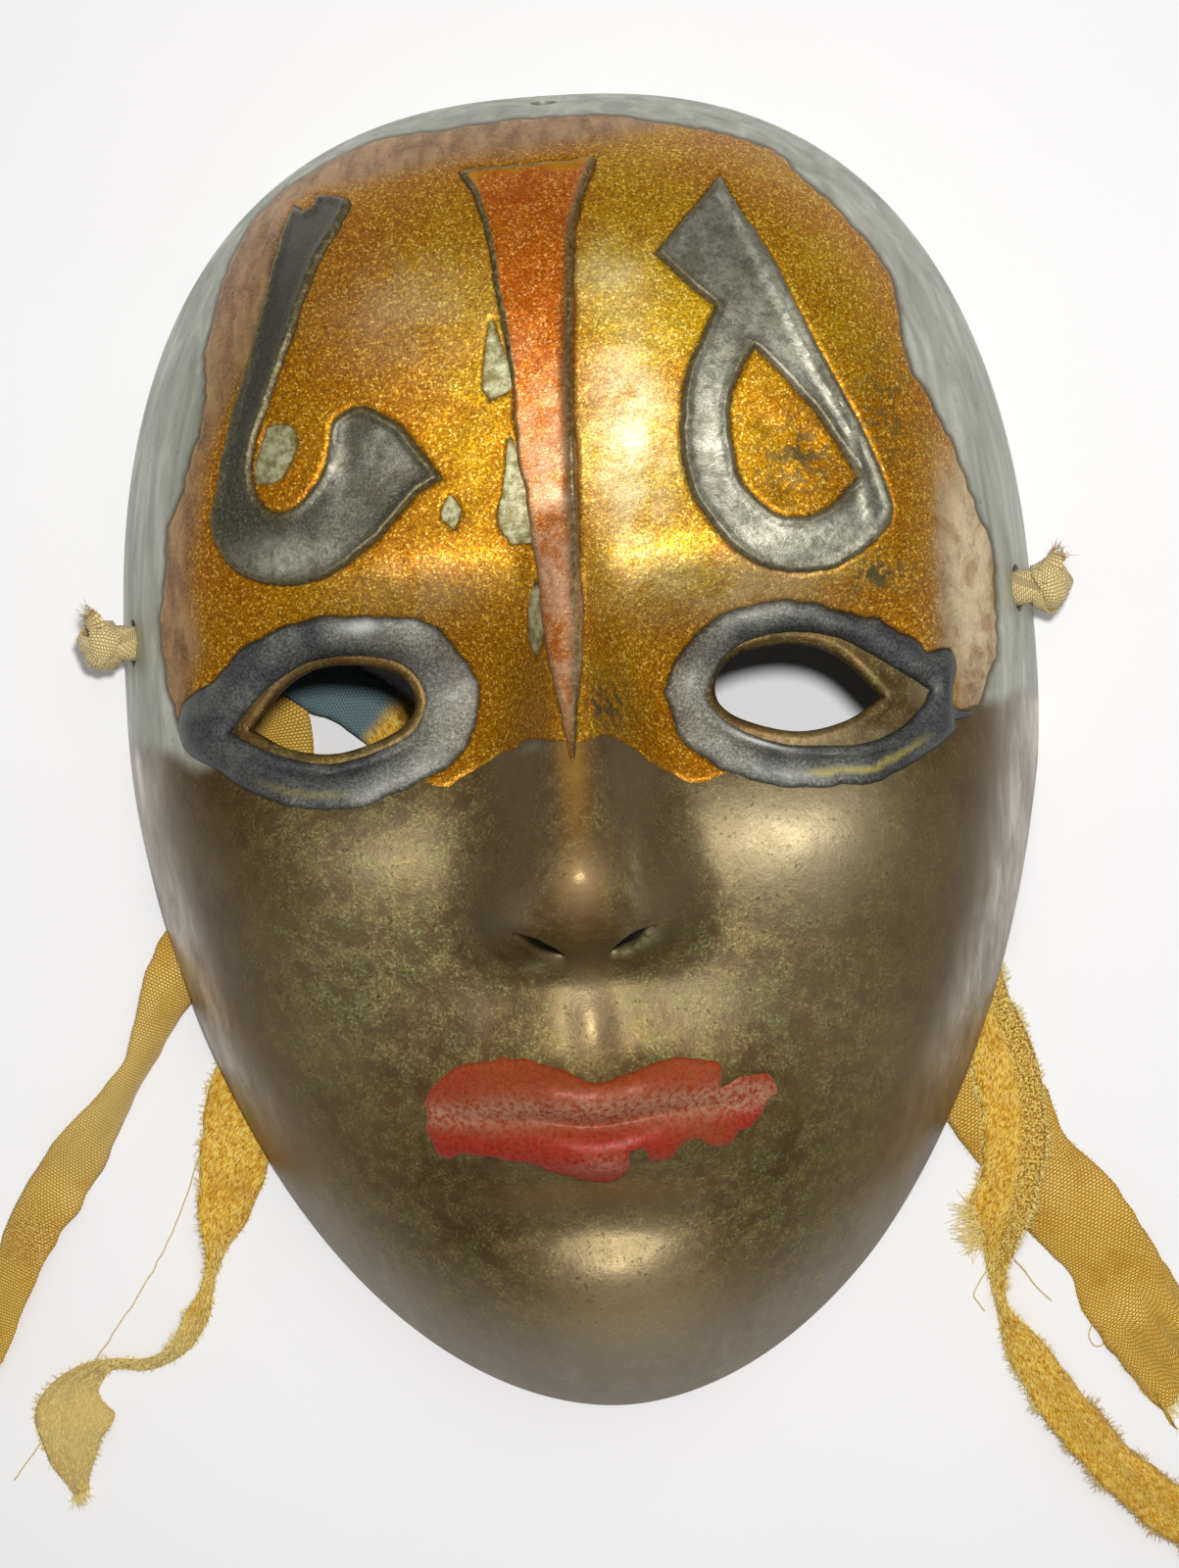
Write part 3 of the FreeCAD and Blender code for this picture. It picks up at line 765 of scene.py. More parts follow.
def loop_inner_edge():
    return ragged(outline(
        [(28, 54), (33, 48), (38, 41)],
        [(41, 35), (36, 30.5), (30, 30.5), (25, 36), (24, 46)],
    ), 14, 0.1, 0.25)


def gold_edge():
    return ragged(outline(
        [(-30, 91), (-10, 92.5), (12, 92)],
        [(33, 86), (42, 75), (48.5, 65), (50, 53), (56, 38), (60.5, 26), (61, 13)],
        [(57, 3), (40, 0)],
        [(18, -6), (12, -4), (6, 1), (0, 1), (-8, 1), (-14, -2)],
        [(-18, -4), (-38, 0)],
        [(-55, 3), (-59, 17), (-57, 33), (-51, 49), (-49, 66), (-43, 83)],
    ), 15, 0.3, 0.6)


def lip_edge():
    return ragged(outline(
        [(-24, -48), (-22.5, -45.5), (-19, -43), (-13, -41.8), (-6.5, -42.8), (-1, -45.4)],
        [(2, -45.6), (6, -44.3), (12, -43.6), (17, -44.6)],
        [(16.8, -48.0), (20.4, -46.6), (24, -46.4)],
        [(25, -49.5), (22, -52.8), (19, -55), (17, -56.3)],
        [(15, -55.2), (12.4, -54.2)],
        [(9.8, -57.2), (6.8, -57.2), (6.5, -55.9)],
        [(4.2, -55.6), (3.2, -59.2)],
        [(0.5, -60), (-4, -59), (-10, -56.8), (-17, -55.3), (-23, -55.2)],
    ), 16, 0.38, 0.25)


def drips():
    """Bare runs of brass beside the copper stripe."""
    return [
        ragged(outline([(-8.2, 60), (-6.4, 55), (-5.9, 50.5)], [(-8.8, 48.6), (-9.8, 51.5)]), 17, 0.1, 0.2),
        ragged(outline([(-6.5, 43.5), (-4.6, 38), (-3.4, 29.5)],
                       [(-7, 28.4), (-8.6, 32), (-7.6, 37)]), 18, 0.1, 0.2),
        ragged(outline([(-4, 23.5), (-2.6, 18)], [(-4.4, 12.5), (-5.4, 15), (-5.2, 19.5)]), 19, 0.1, 0.15),
        ragged(outline([(-15.2, 35.6), (-13.9, 33.4)], [(-14.8, 31), (-16.4, 33)]), 20, 0.1, 0.15),
        ragged(outline([(-40.4, 47.4), (-36.9, 47.2)], [(-36, 44.4), (-37.4, 41.8), (-39.4, 39.6)],
                       [(-42.6, 39.4), (-42.4, 42.6)]), 25, 0.1, 0.2),
    ]


# ---------------------------------------------------------------- the shell
def crossing(low, high, above):
    """Where above(t) turns from true to false between low and high, for many at once."""
    for _ in range(HALVINGS):
        middle = (low + high) / 2
        yes = above(middle)
        low, high = np.where(yes, middle, low), np.where(yes, high, middle)
    return low


def rim_edge(count=760):
    """The rim as seen from above, where the brass meets the table or the cheek arch."""
    angle = np.linspace(0, 2 * math.pi, count, endpoint=False)
    cx, cy = np.cos(angle), np.sin(angle)

    def above(r):
        return height(cx * r, WIDEST_Y + cy * r) > rim_floor(WIDEST_Y + cy * r)

    r = crossing(np.full(count, 40.0), np.full(count, 130.0), above)
    return np.c_[cx * r, WIDEST_Y + cy * r]


def temple_hole(side, count=40):
    angle = np.linspace(0, 2 * math.pi, count, endpoint=False)
    y = TEMPLE_Y + TEMPLE_HOLE_R * np.cos(angle)
    z = TEMPLE_Z + TEMPLE_HOLE_R * np.sin(angle)
    x = crossing(np.full(count, 40.0), np.full(count, 69.5), lambda t: height(t, y) > z)
    return np.c_[side * x, y]


def hanging_hole(count=32):
    angle = np.linspace(0, 2 * math.pi, count, endpoint=False)
    x = HANGING_HOLE_R * np.cos(angle)
    z = HANGING_Z + HANGING_HOLE_R * np.sin(angle) * 0.934
    y = crossing(np.full(count, 60.0), np.full(count, 100.0), lambda t: height(x, t) > z)
    return np.c_[x, y]


def nostril(side):
    return outline([(9.5, -24.6), (6.4, -25.6), (3, -28.6), (6.4, -28.0)], step=0.35) * (side, 1)


def brass_marks(flat, eyes):
    """How much of each colour of brass, and of painted highlight, there is at points of the outside."""
    x, y = flat[:, 0], flat[:, 1]
    share = rim_share(x, y)
    painted = gold_edge()
    past = np.where(inside(flat, painted), 0, distance(flat, [painted]))
    upper = smooth((y - 1 + 2.5 * lattice(x, y, 6, 40)) / 4)
    wall = smooth(past / 1.2) * upper
    bare = sum(inside(flat, loop).astype(float) for loop in drips())
    # The thin streak on the right of the nose ball is a painted glint; the rest is bare brass.
    bare = bare + spots(x, y, (0.8, 4.8, -28, 1.3, 0.8), (0.8, 6.6, -27.3, 1.3, 0.9),
                        (0.8, 8.4, -26.2, 1.3, 0.9), (0.5, -6.4, -29.6, 2.6, 1), (0.35, 7.4, -17, 0.9, 4))
    # shine: a painted whitish sheen along the lower side walls.
    shine = (1 - upper) * smooth((share - 0.84) / 0.1) * (0.12 + 0.88 * smooth((y + 62) / 30))
    shine = shine * (0.7 + 0.35 * lattice(2.2 * x, 0.6 * y, 7, 42))
    tan = smooth(past / 1.5) * upper * smooth((0.93 - share) / 0.06) * smooth((y - 84) / 5)
    polish = spots(x, y, (0.5, 0, -18.5, 4.8, 5.6), (1, 0, 0, 2.2, 11), (0.3, 0, -38, 3.2, 6),
                   (0.45, 0, -61.5, 12, 2), (0.2, 2, -76, 14, 8), (0.15, 0, -48, 26, 9))
    # glow: pale patches on the cheeks, chin, philtrum, nose and by the right eye, partly paler worn brass and
    # partly a painted highlight.
    glow = spots(x, y, (0.9, 31, -13, 13, 11), (0.25, -27, -12, 11, 9), (0.85, 3, -76, 12, 12),
                 (0.9, 0, -37, 3.6, 6), (0.9, 7.6, -26, 2.6, 1.5), (1, 0.3, -17.6, 2.6, 3.4),
                 (0.3, 15, -36, 9, 6), (0.25, -36, -34, 12, 18), (0.25, 36, -40, 12, 16)) * (1 - upper)
    lids = hump(distance(flat, eyes), 1.1, 0.8)
    polish = np.maximum(polish, lids * (0.1 + 0.25 * lattice(x, y, 5, 43)))
    glow = np.maximum(glow, spot(x, y, 51.5, 5.2, 3.2, 2.4))
    wall = wall * (1 - np.clip(4 * lids + bare, 0, 1))
    cavity = spots(x, y, (0.75, 7.8, -8, 3.2, 13), (0.9, -8.2, -8, 3.4, 13), (0.9, 0, -28.5, 7, 1.8),
                   (0.9, 12.5, -20, 4, 6), (1, -13, -21, 4.5, 7), (0.7, 0, -63.5, 15, 2),
                   (0.7, 0, -50.8, 22, 0.9), (0.9, 7.5, 0, 4, 7), (0.9, -7.5, 0, 4, 7))
    cavity = np.clip(cavity, 0, 1) * (1 - 0.9 * hump(x, 0, 3) * (y > -26))
    cavity = cavity * (1 - 0.9 * spot(x, y, 7.6, -26, 2.4, 1.4))
    cavity = cavity + 0.4 * smooth((share - 0.78) / 0.14) * (1 - upper) * (1 - shine)
    cavity = cavity + 0.6 * spot(x, y, -17, -37, 9, 6) * (0.6 + 0.6 * lattice(x, y, 4, 44))
    mottle = 0.45 + 0.25 * lattice(x, y, 16, 41) + spots(
        x, y, (0.55, -26, -24, 20, 22), (0.5, 22, -26, 14, 22), (0.4, 0, -42, 20, 8), (0.35, 8, -72, 30, 8))
    mottle = mottle * (1 - 0.75 * smooth((np.abs(x) - 38) / 14) * (1 - upper))
    mottle = mottle * (1 - 0.75 * np.clip(cavity, 0, 1))
    made = {"wall": wall, "tan": tan, "shine": shine, "bare": bare, "glow": glow, "polish": polish,
            "cavity": cavity, "mottle": mottle}
    made = {key: np.clip(values, 0, 1) for key, values in made.items()}
    made["ball"] = spots(x, y, (1, 0, -18, 5.5, 6), (0.6, 0, -2, 2.5, 12))
    return made


def mask_shell():
    """One closed sheet of brass: a fine outside, a coarser inside and the edges between them."""
    rim = rim_edge()
    eyes = [eye_hole(-1), eye_hole(1)]
    nostrils = [nostril(-1), nostril(1)]
    small = [temple_hole(-1), temple_hole(1), hanging_hole()]
    holes = eyes + nostrils + small
    loops = [rim] + holes

    def region(points):
        return clear_of(points, rim, holes)

    def sheet(spacing, rings, clear):
        """Points of the sheet on rings that are closer together towards the rim."""
        around = len(rim)
        made = []
        angle = np.arctan2(rim[:, 1] - WIDEST_Y, rim[:, 0]) % (2 * math.pi)
        radius = np.hypot(rim[:, 0], rim[:, 1] - WIDEST_Y)
        order = np.argsort(angle)
        for k in range(1, rings):
            share = 1 - (1 - k / rings) ** 1.5
            count = int(max(10, min(around, 2 * math.pi * MEAN_RADIUS * share / spacing)))
            turn = (np.arange(count) + 0.5 * (k % 2)) * 2 * math.pi / count
            r = np.interp(turn, angle[order], radius[order], period=2 * math.pi) * share
            made.append(np.c_[r * np.cos(turn), WIDEST_Y + r * np.sin(turn)])
        inner = np.vstack(made)
        inner = inner[region(inner)]
        inner = inner[(distance(inner, eyes + nostrils) > clear) & (distance(inner, small) > 0.12)]
        return inner

    beside, own = ring_points(eyes + nostrils, (0.12, 0.3, 0.55, 0.85, 1.25))
    ok = region(beside)
    beside, own = beside[ok], own[ok]
    beside = beside[distance(beside, eyes + nostrils) >= own * 0.92]
    fine = np.vstack([sheet(0.85, 150, 1.6), beside])
    out_flat, out_faces, out_source = filled(loops, fine, region)
    in_flat, in_faces, in_source = filled(loops, sheet(2.2, 60, 0.5), region)

    gap = distance(out_flat, eyes + nostrils)
    radius = 0.55
    rounding = np.where(gap < radius, radius - np.sqrt(np.maximum(radius ** 2 - (radius - gap) ** 2, 0)), 0)
    lid = 0.3 * hump(distance(out_flat, eyes), 1.1, 0.55)
    outer = lifted(out_flat, lid - rounding)
    inner = lifted(in_flat, np.full(len(in_flat), -WALL))
    for points in (outer, inner):
        points[:, 2] = np.maximum(points[:, 2], rim_floor(points[:, 1]))
    n = len(outer)
    faces = out_faces.tolist() + [[n + c, n + b, n + a] for a, b, c in in_faces.tolist()]
    place = {s: n + i for i, s in enumerate(in_source.tolist())}
    for a, b in open_edges(out_faces):
        faces.append([b, a, place[out_source[a]], place[out_source[b]]])

    back = np.zeros(len(inner))
    marks = {key: np.r_[values, back] for key, values in brass_marks(out_flat, eyes).items()}
    return add_mesh("mask_shell_brass", np.vstack([outer, inner]), faces, sharp=45,
                    within=np.r_[np.zeros(n), back + 1], **marks)


def mark(piece, **attributes):
    """Adds one number per point for each attribute, worked out from x and y."""
    flat = np.zeros(len(piece.data.vertices) * 3)
    piece.data.vertices.foreach_get("co", flat)
    x, y, _ = flat.reshape(-1, 3).T / MM
    for key, rule in attributes.items():
        values = np.clip(rule(x, y), 0, 1).astype(np.float32)
        piece.data.attributes.new(key, "FLOAT", "POINT").data.foreach_set("value", values)
    return piece


def decoration():
    """Every layer of paint and enamel."""
    eye_rims = {side: (eye_outer_edge(side), eye_inner_edge(side)) for side in (-1, 1)}
    cut = [wedge_edge(), hook_edge(), loop_outer_edge(), *drips(), eye_rims[-1][0], eye_rims[1][0]]
    whole, island = gold_edge(), loop_inner_edge()

    def painted(points):
        return clear_of(points, whole, cut) | inside(points, island)

    def thin(x, y, gap):
        """The gold coat's thickness."""
        return 0.26 * smooth(gap / 0.45) + 0.05 * lattice(x, y, 1.5, 60) + 0.02

    def pale_edge(x, y):
        """Tan where the gold thins out: left of the hook, along the top and by the right temple."""
        line = np.interp(y, (15, 35, 45, 60, 80), (-51.5, -50.5, -48, -39.5, -35.5))
        left = smooth((line - x + 1.2 * lattice(x, y, 6, 68)) / 4)
        top = smooth((y - 84.5 - 0.1 * x + 1.5 * lattice(x, y, 9, 69)) / 5)
        right = smooth((x - 51 + 2 * lattice(x, y, 6, 67)) / 4) * smooth((40 - y) / 8)
        return left + top * smooth((24 - x) / 10) + right

    gold = coat("forehead_gold", [whole, island] + cut, thin, 0.85, (0.2, 0.45, 0.8), painted)
    mark(
        gold,
        fade=pale_edge,
        # yellow: the paint's own yellower tone, with a painted highlight on the brows and right of the
        # stripe.
        yellow=lambda x, y: 0.12 + 0.2 * lattice(x, y, 9, 70) + spots(
            x, y, (0.95, 12, 52, 12, 26), (0.6, -12, 50, 7, 26), (0.5, 4, 6, 5, 10), (0.6, 34, 60, 14, 20),
            (0.7, 26, 23, 16, 5), (0.3, -24, 24, 12, 5)),
        # sheen: a painted highlight on the brows, beside the stripe and by the right temple.
        sheen=lambda x, y: spots(
            x, y, (1, 10, 42, 5, 14), (0.3, -20, 62, 10, 8), (0.5, 8, 66, 5, 4), (0.5, 24, 21, 14, 4),
            (0.25, -20, 23, 9, 4), (1.3, 57, 20, 4.5, 16)),
        stain=lambda x, y: 0.12 + spots(
            x, y, (0.8, 33, 38, 5, 5), (1, 43, 21.5, 4, 2.4), (1, 4.6, 5.5, 3, 3.2), (0.5, 46, 45, 5, 8)),
    )
    settle(gold, "forehead_gold_paint", gold_paint())

    def ridged(x, y, gap):
        """Enamel with a raised line along its edge."""
        grain = 0.08 * lattice(x, y, 1.8, 61) * smooth(gap / 0.5)
        return 0.3 * smooth(gap / 0.3) + 0.5 * hump(gap, 0.8, 0.5) + grain

    def along_stripe(x, y):
        """How near a point is to the raised line down the right of the stripe."""
        line = np.interp(y, (-3, 14, 33, 53, 73, 84), (0.2, 1.3, 1.7, 2.2, 3.7, 7.2))
        return hump(x, line, 0.75) * smooth((86 - y) / 3)

    def stripe_relief(x, y, gap):
        """The stripe's thickness with its raised right line."""
        low = 0.4 * smooth(gap / 0.3) + 0.25 * hump(gap, 0.7, 0.4) * smooth((y - 46) / 8)
        return low + 0.6 * along_stripe(x, y) * smooth(gap / 0.6) + 0.06 * lattice(x, y, 1.8, 61)

    stripe = coat("forehead_copper", [cut[0]], stripe_relief, 0.7)
    mark(
        stripe,
        # sheen: a painted highlight on the lower half of the stripe.
        sheen=lambda x, y: smooth((62 - y) / 26) * smooth((y + 3) / 10) * (0.75 + 0.4 * lattice(x, y, 5, 62)),
        fade=lambda x, y: smooth((y - 82 + 0.8 * lattice(x, y, 2, 63)) / 1.5)
        + 0.8 * smooth((-8.6 - x) / 1.2) * (y > 74),
        ridge=along_stripe,
        bordered=lambda x, y: np.maximum(smooth((y - 48) / 5) * (x < 0), 0.5),
    )
    settle(stripe, "forehead_copper_stripe", copper_paint())

    enamel = grey_enamel()

    def barbed(x, y, gap):
        """Enamel of the hook, with the small blade between its prongs."""
        return ridged(x, y, gap) + 0.5 * spot(x, y, -31.2, 43.5, 1.3, 5) * smooth(gap / 0.8)

    hook = coat("hook", [cut[1]], barbed, 0.7)
    mark(
        hook,
        # sheen: a painted highlight on the lower bend and the blade.
        sheen=lambda x, y: spots(
            x, y, (0.9, -38, 28.5, 8, 3), (0.35, -30, 34, 4, 4), (0.9, -31.4, 43.5, 1.3, 5),
            (0.25, -24, 42, 6, 5)),
        dark=lambda x, y: smooth((y - 40) / 14) * 0.9 * smooth((-32 - x) / 4)
        + 0.4 * spot(x, y, -27, 43, 5, 4),
    )
    settle(hook, "hook_motif", enamel)

    def second_line(x, y):
        """A raised line just inside the right side of the loop."""
        line = np.interp(y, (28, 41, 54, 68, 78), (42.6, 40.6, 34.6, 28.8, 24.4))
        return hump(x, line, 0.55) * smooth((y - 27) / 3)

    def folded(x, y, gap):
        """Enamel of the loop, with its second line."""
        return ridged(x, y, gap) + 0.5 * second_line(x, y) * smooth(gap / 0.8)

    loop = coat("loop", [cut[2], island], folded, 0.7)
    mark(
        loop,
        # sheen: a painted highlight over most of the loop and along its second line.
        sheen=lambda x, y: 0.45 + 0.9 * second_line(x, y) + spots(
            x, y, (0.7, 34, 27, 10, 3), (0.8, 33, 55, 3, 9), (0.7, 22, 38, 2.4, 10)),
        dark=lambda x, y: 0.2 * smooth((y - 58) / 10) + 0.3 * spot(x, y, 18.5, 45, 1.5, 8),
    )
    settle(loop, "loop_motif", enamel)

    slate = slate_enamel()
    for side, word in ((-1, "left"), (1, "right")):
        outer_loop, inner_loop = eye_rims[side]

        def shares(x, y, near=inner_loop, far=outer_loop):
            """Distances from the rim's inner and outer edge, and the share of the way between them."""
            a, b = distance(np.c_[x, y], [near]), distance(np.c_[x, y], [far])
            return a, b, a / np.maximum(a + b, 1e-6)

        def round_rim(x, y, gap, shares=shares):
            """A half-round rim with a groove in its lower part."""
            a, _, u = shares(x, y)
            groove = 0.55 * hump(a, 1.7, 0.5) * smooth((5 - y) / 6)
            return (1.5 * np.sin(np.pi * np.clip(u, 0, 1)) ** 0.7 - groove * smooth(gap / 0.6)
                    + 0.07 * lattice(x, y, 1.6, 64) * smooth(gap))

        rim = coat(word + "_eye_rim_enamel", [outer_loop, inner_loop], round_rim, 0.7)
        mark(
            rim,
            # The spot along the top of each rim lightens it as a painted highlight.
            dark=lambda x, y, s=side: 1.05 + 0.3 * lattice(x, y, 3, 65) - spots(
                s * x, y, (1, 19, 3, 9, 12), (0.6, 33, -8, 10, 4), (0.7, 27, 17.5, 9, 2.4)),
            line=lambda x, y, s=side, shares=shares: smooth((0.6 - np.abs(shares(x, y)[1] - 2.0)) / 0.35)
            * smooth((s * x - 30) / 4) * smooth(-y / 4) * (0.9 if s > 0 else 0.35),
            # gleam: a painted white glint in the right rim's groove and on top of the left rim.
            gleam=lambda x, y, s=side, shares=shares: smooth((0.3 - np.abs(shares(x, y)[0] - 0.6)) / 0.2)
            * spot(s * x, y, 24, -1.5, 5, 3) * 0.9 * (s > 0)
            + 0.5 * spot(s * x, y, 29, 18.5, 2.2, 0.9) * (s < 0),
        )
        settle(rim, word + "_eye_rim", slate)

    def worn(x, y, gap):
        """The lip enamel's thickness."""
        return 0.26 * smooth(gap / 0.4) + 0.05 * lattice(x, y, 1.2, 66)

    mouth = coat("lip_enamel", [lip_edge()], worn, 0.6, (0.2, 0.45, 0.8))
    mark(
        mouth,
        fresh=lambda x, y: smooth((-51.5 - y) / 2.5) * smooth((14 - x) / 6)
        + 0.7 * smooth((x - 17) / 3) * (y < -50)
        + 0.4 * smooth((np.abs(x) - 14) / 6),
        # rub: rubbed wear along the line between the lips, with a painted highlight on the middle of the
        # lower lip.
        rub=lambda x, y: 0.12 + 0.95 * hump(y + 0.35 * lattice(x, y, 6, 72), -49.4, 1.9)
        + spots(x, y, (0.5, 19, -49, 4, 2), (0.6, 1, -57.2, 4.5, 1.3)),
    )
    settle(mouth, "lip_paint", red_enamel())


# ---------------------------------------------------------------- ribbons
# Each ribbon's lay in millimetres, from the gather behind the temple to the frayed end. They follow the
# routes of part.py, moved to what the photo shows.
LEFT_LONG = [
    (-56.5, 15.5, 12), (-46.5, 12.5, 3.5), (-45, 0.5, 1), (-50, -12, 0.3), (-59.5, -22.5, 0.3),
    (-66, -33, 0.3), (-70, -43, 0.3), (-77.5, -52.5, 0.3), (-85.5, -62.5, 0.3), (-91.5, -73.5, 0.3),
    (-95.5, -84.5, 0.3), (-102, -94, 0.3), (-112, -99, 0.3),
]
LEFT_SHORT = [
    (-52, 18.5, 12), (-40, 13.5, 2.2), (-30, 7.5, 2.2), (-24, -2, 0.8), (-27, -13, 0.3), (-37, -25, 0.3),
    (-47, -36, 0.3), (-55.5, -47, 0.3), (-57, -60, 0.3), (-60.5, -71.5, 0.3), (-64, -83, 0.3),
    (-70, -89.5, 0.3), (-79, -88.5, 0.3), (-84.8, -93.5, 0.3), (-84.5, -103.5, 0.3), (-83.5, -110, 0.3),
]
RIGHT_PILE = [
    (58, 14.5, 14), (58, -5, 1), (58, -18, 1), (55, -29, 1), (56.5, -40, 1), (60.5, -50, 1), (62, -61, 1),
    (60, -72, 1), (58, -83, 1), (61, -94, 1), (67, -105, 1), (75, -115, 1), (85, -123, 1), (96, -129, 1),
]
RIGHT_SATIN = [
    (55.5, 14.5, 10), (51.5, 2.5, 0.3), (47.5, -9.5, 0.3), (46, -22, 0.3), (47.5, -35, 0.3), (52, -47, 0.3),
    (59, -58, 0.3), (67, -69, 0.3), (74, -81, 0.3), (81, -94, 0.3), (90, -105, 0.3),
]
THICK = 0.36            # ribbon cloth, in millimetres


def tube_faces(rows, around, closed=False):
    """Four-sided faces between neighbouring rings of points. A closed tube's last ring meets its first."""
    return [
        [i * around + j, i * around + k, n * around + k, n * around + j]
        for i, n in zip(range(rows if closed else rows - 1), [*range(1, rows), 0])
        for j, k in zip(range(around), [*range(1, around), 0])
    ]


def spline_points(route):
    """Points read from the smooth line that the route's points steer."""
    curve = bpy.data.curves.new("route", "CURVE")
    curve.dimensions = "3D"
    spline = curve.splines.new("NURBS")
    spline.points.add(len(route) - 1)
    for point, place in zip(spline.points, route):
        point.co = (*place, 1.0)
    spline.order_u = 3
    spline.use_endpoint_u = True
    spline.resolution_u = 10
    holder = bpy.data.objects.new("route", curve)
    bpy.context.scene.collection.objects.link(holder)
    mesh = bpy.data.meshes.new_from_object(holder)
    points = np.array([tuple(v.co) for v in mesh.vertices])
    bpy.data.objects.remove(holder)
    bpy.data.curves.remove(curve)
    bpy.data.meshes.remove(mesh)
    return points


def evenly(points, step):
    """The same line with points a step apart, with its length."""
    along = np.r_[0, np.cumsum(np.linalg.norm(np.diff(points, axis=0), axis=1))]
    count = int(along[-1] / step) + 1
    at = np.linspace(0, along[-1], count)
    return np.c_[[np.interp(at, along, points[:, k]) for k in range(3)]].T, at


def hairs(roots, ways, lengths, rng, radius=0.08, wander=0.5, steps=4, lowest=0.12):
    """Fine curling fibres as three-sided tubes that come to a point."""
    place, way = np.array(roots, float), np.array(ways, float)
    count = len(place)
    step = (np.array(lengths, float) / steps)[:, None]
    curl = rng.normal(0, wander, (count, 3))
    rings = []
    for k in range(steps + 1):
        way = way + (curl + rng.normal(0, wander, (count, 3))) / steps
        way[:, 2] -= 0.1
        way /= np.linalg.norm(way, axis=1)[:, None]
        side = np.cross(way, (0.3, 0.2, 0.9))
        side /= np.linalg.norm(side, axis=1)[:, None]
        up = np.cross(side, way)
        r = radius * (1 - 0.75 * k / steps)
        for turn in (0, 2 * math.pi / 3, 4 * math.pi / 3):
            rings.append(place + r * (side * math.cos(turn) + up * math.sin(turn)))
        place = place + way * step
        place[:, 2] = np.maximum(place[:, 2], lowest)
    each = 3 * (steps + 1)
    points = np.stack(rings, axis=1).reshape(-1, 3)
    one = np.array(tube_faces(steps + 1, 3))
    sides = (np.arange(count)[:, None, None] * each + one[None]).reshape(-1, 4).tolist()
    ends = np.array([[2, 1, 0], [each - 3, each - 2, each - 1]])
    caps = (np.arange(count)[:, None, None] * each + ends[None]).reshape(-1, 3).tolist()
    return points, sides + caps


def band(points, width, twist, curl, narrow, frayed, seed, lifts=0.0, across_count=12, step=0.8, floor=0.1,
         flares=(), wavy=0.35):
    """A strip of cloth along a line in millimetres.

    twist, curl and narrow are rows of (share of the length, value): degrees about the line,
    millimetres by which the middle bulges, and share of the width. Each flare moves one edge out:
    its share of the length, which edge, by how much, and how far along it reaches. frayed is how far
    the torn end is uneven, wavy how far the cloth waves, lifts raises all of it, and it keeps above floor.
    """
    rng = np.random.default_rng(seed)
    line, at = evenly(points, step)
    count = len(line)
    share = at / at[-1]
    tangent = np.gradient(line, axis=0)
    tangent /= np.linalg.norm(tangent, axis=1)[:, None]
    side = np.cross(tangent, (0, 0, 1.0))
    side /= np.linalg.norm(side, axis=1)[:, None]
    up = np.cross(side, tangent)
    angle = np.radians(follow(np.array(twist, float), share))[:, None]
    side, up = side * np.cos(angle) + up * np.sin(angle), up * np.cos(angle) - side * np.sin(angle)
    bulge = follow(np.array(curl, float), share)
    wide = width * follow(np.array(narrow, float), share)
    v = np.linspace(-0.5, 0.5, across_count)
    wave = wavy * lattice(at[:, None] + 0 * v, v[None, :] * width + 40, 7, seed)
    torn = frayed * (0.5 + 0.5 * lattice(v * width, 0 * v + 9, 1.5, seed + 1))
    grid = np.zeros((count, across_count, 3))
    slide = smooth((share - 0.8) / 0.2)
    for j, vj in enumerate(v):
        s = at - torn[j] * slide
        centre = np.c_[[np.interp(s, at, line[:, k]) for k in range(3)]].T
        edge_wave = 0.25 * lattice(at, 0 * at + 3 * j / across_count, 5, seed + 2) * abs(vj) * 2
        rise = bulge * (1 - 4 * vj ** 2) + wave[:, j] + edge_wave + lifts
        nibbled = 0.25 * lattice(at, 0 * at + 7 * np.sign(vj), 2.2, seed + 3)
        sideways = vj * wide + nibbled * (2 * vj) ** 2 * np.sign(vj)
        for where, edge, extra, reach in flares:
            if vj * edge > 0:
                sideways = sideways + edge * extra * (2 * vj) ** 2 * hump(at, where * at[-1], reach)
        grid[:, j] = centre + side * sideways[:, None] + up * rise[:, None]
    lowest = grid[:, :, 2].min(axis=1)
    shift = np.maximum(floor + THICK / 2 - lowest, 0)
    kernel = np.hanning(9) / np.hanning(9).sum()
    shift = np.maximum(shift, np.convolve(np.pad(shift, 4, "edge"), kernel, "valid"))
    grid[:, :, 2] += shift[:, None]
    du = np.gradient(grid, axis=0)
    dv = np.gradient(grid, axis=1)
    normal = np.cross(dv, du)
    normal /= np.maximum(np.linalg.norm(normal, axis=2), 1e-9)[:, :, None]
    half = THICK / 2 * np.where((np.arange(across_count) % (across_count - 1)) == 0, 0.45, 1.0)
    top, bottom = grid + normal * half[None, :, None], grid - normal * half[None, :, None]
    verts = np.concatenate([top, bottom[:, ::-1]], axis=1).reshape(-1, 3)
    around = 2 * across_count
    faces = tube_faces(count, around)
    for i, flip in ((0, True), (count - 1, False)):
        for j in range(across_count - 1):
            ring = [i * around + k for k in (j, j + 1, around - 2 - j, around - 1 - j)]
            faces.append(ring if flip else ring[::-1])
    along = np.repeat(at[:, None], around, axis=1).ravel()
    column = np.r_[v, v[::-1]] * width
    across = np.repeat(column[None, :], count, axis=0).ravel()
    return verts, faces, grid, along, across, rng


def directions(vectors):
    return vectors / np.maximum(np.linalg.norm(vectors, axis=-1, keepdims=True), 1e-9)


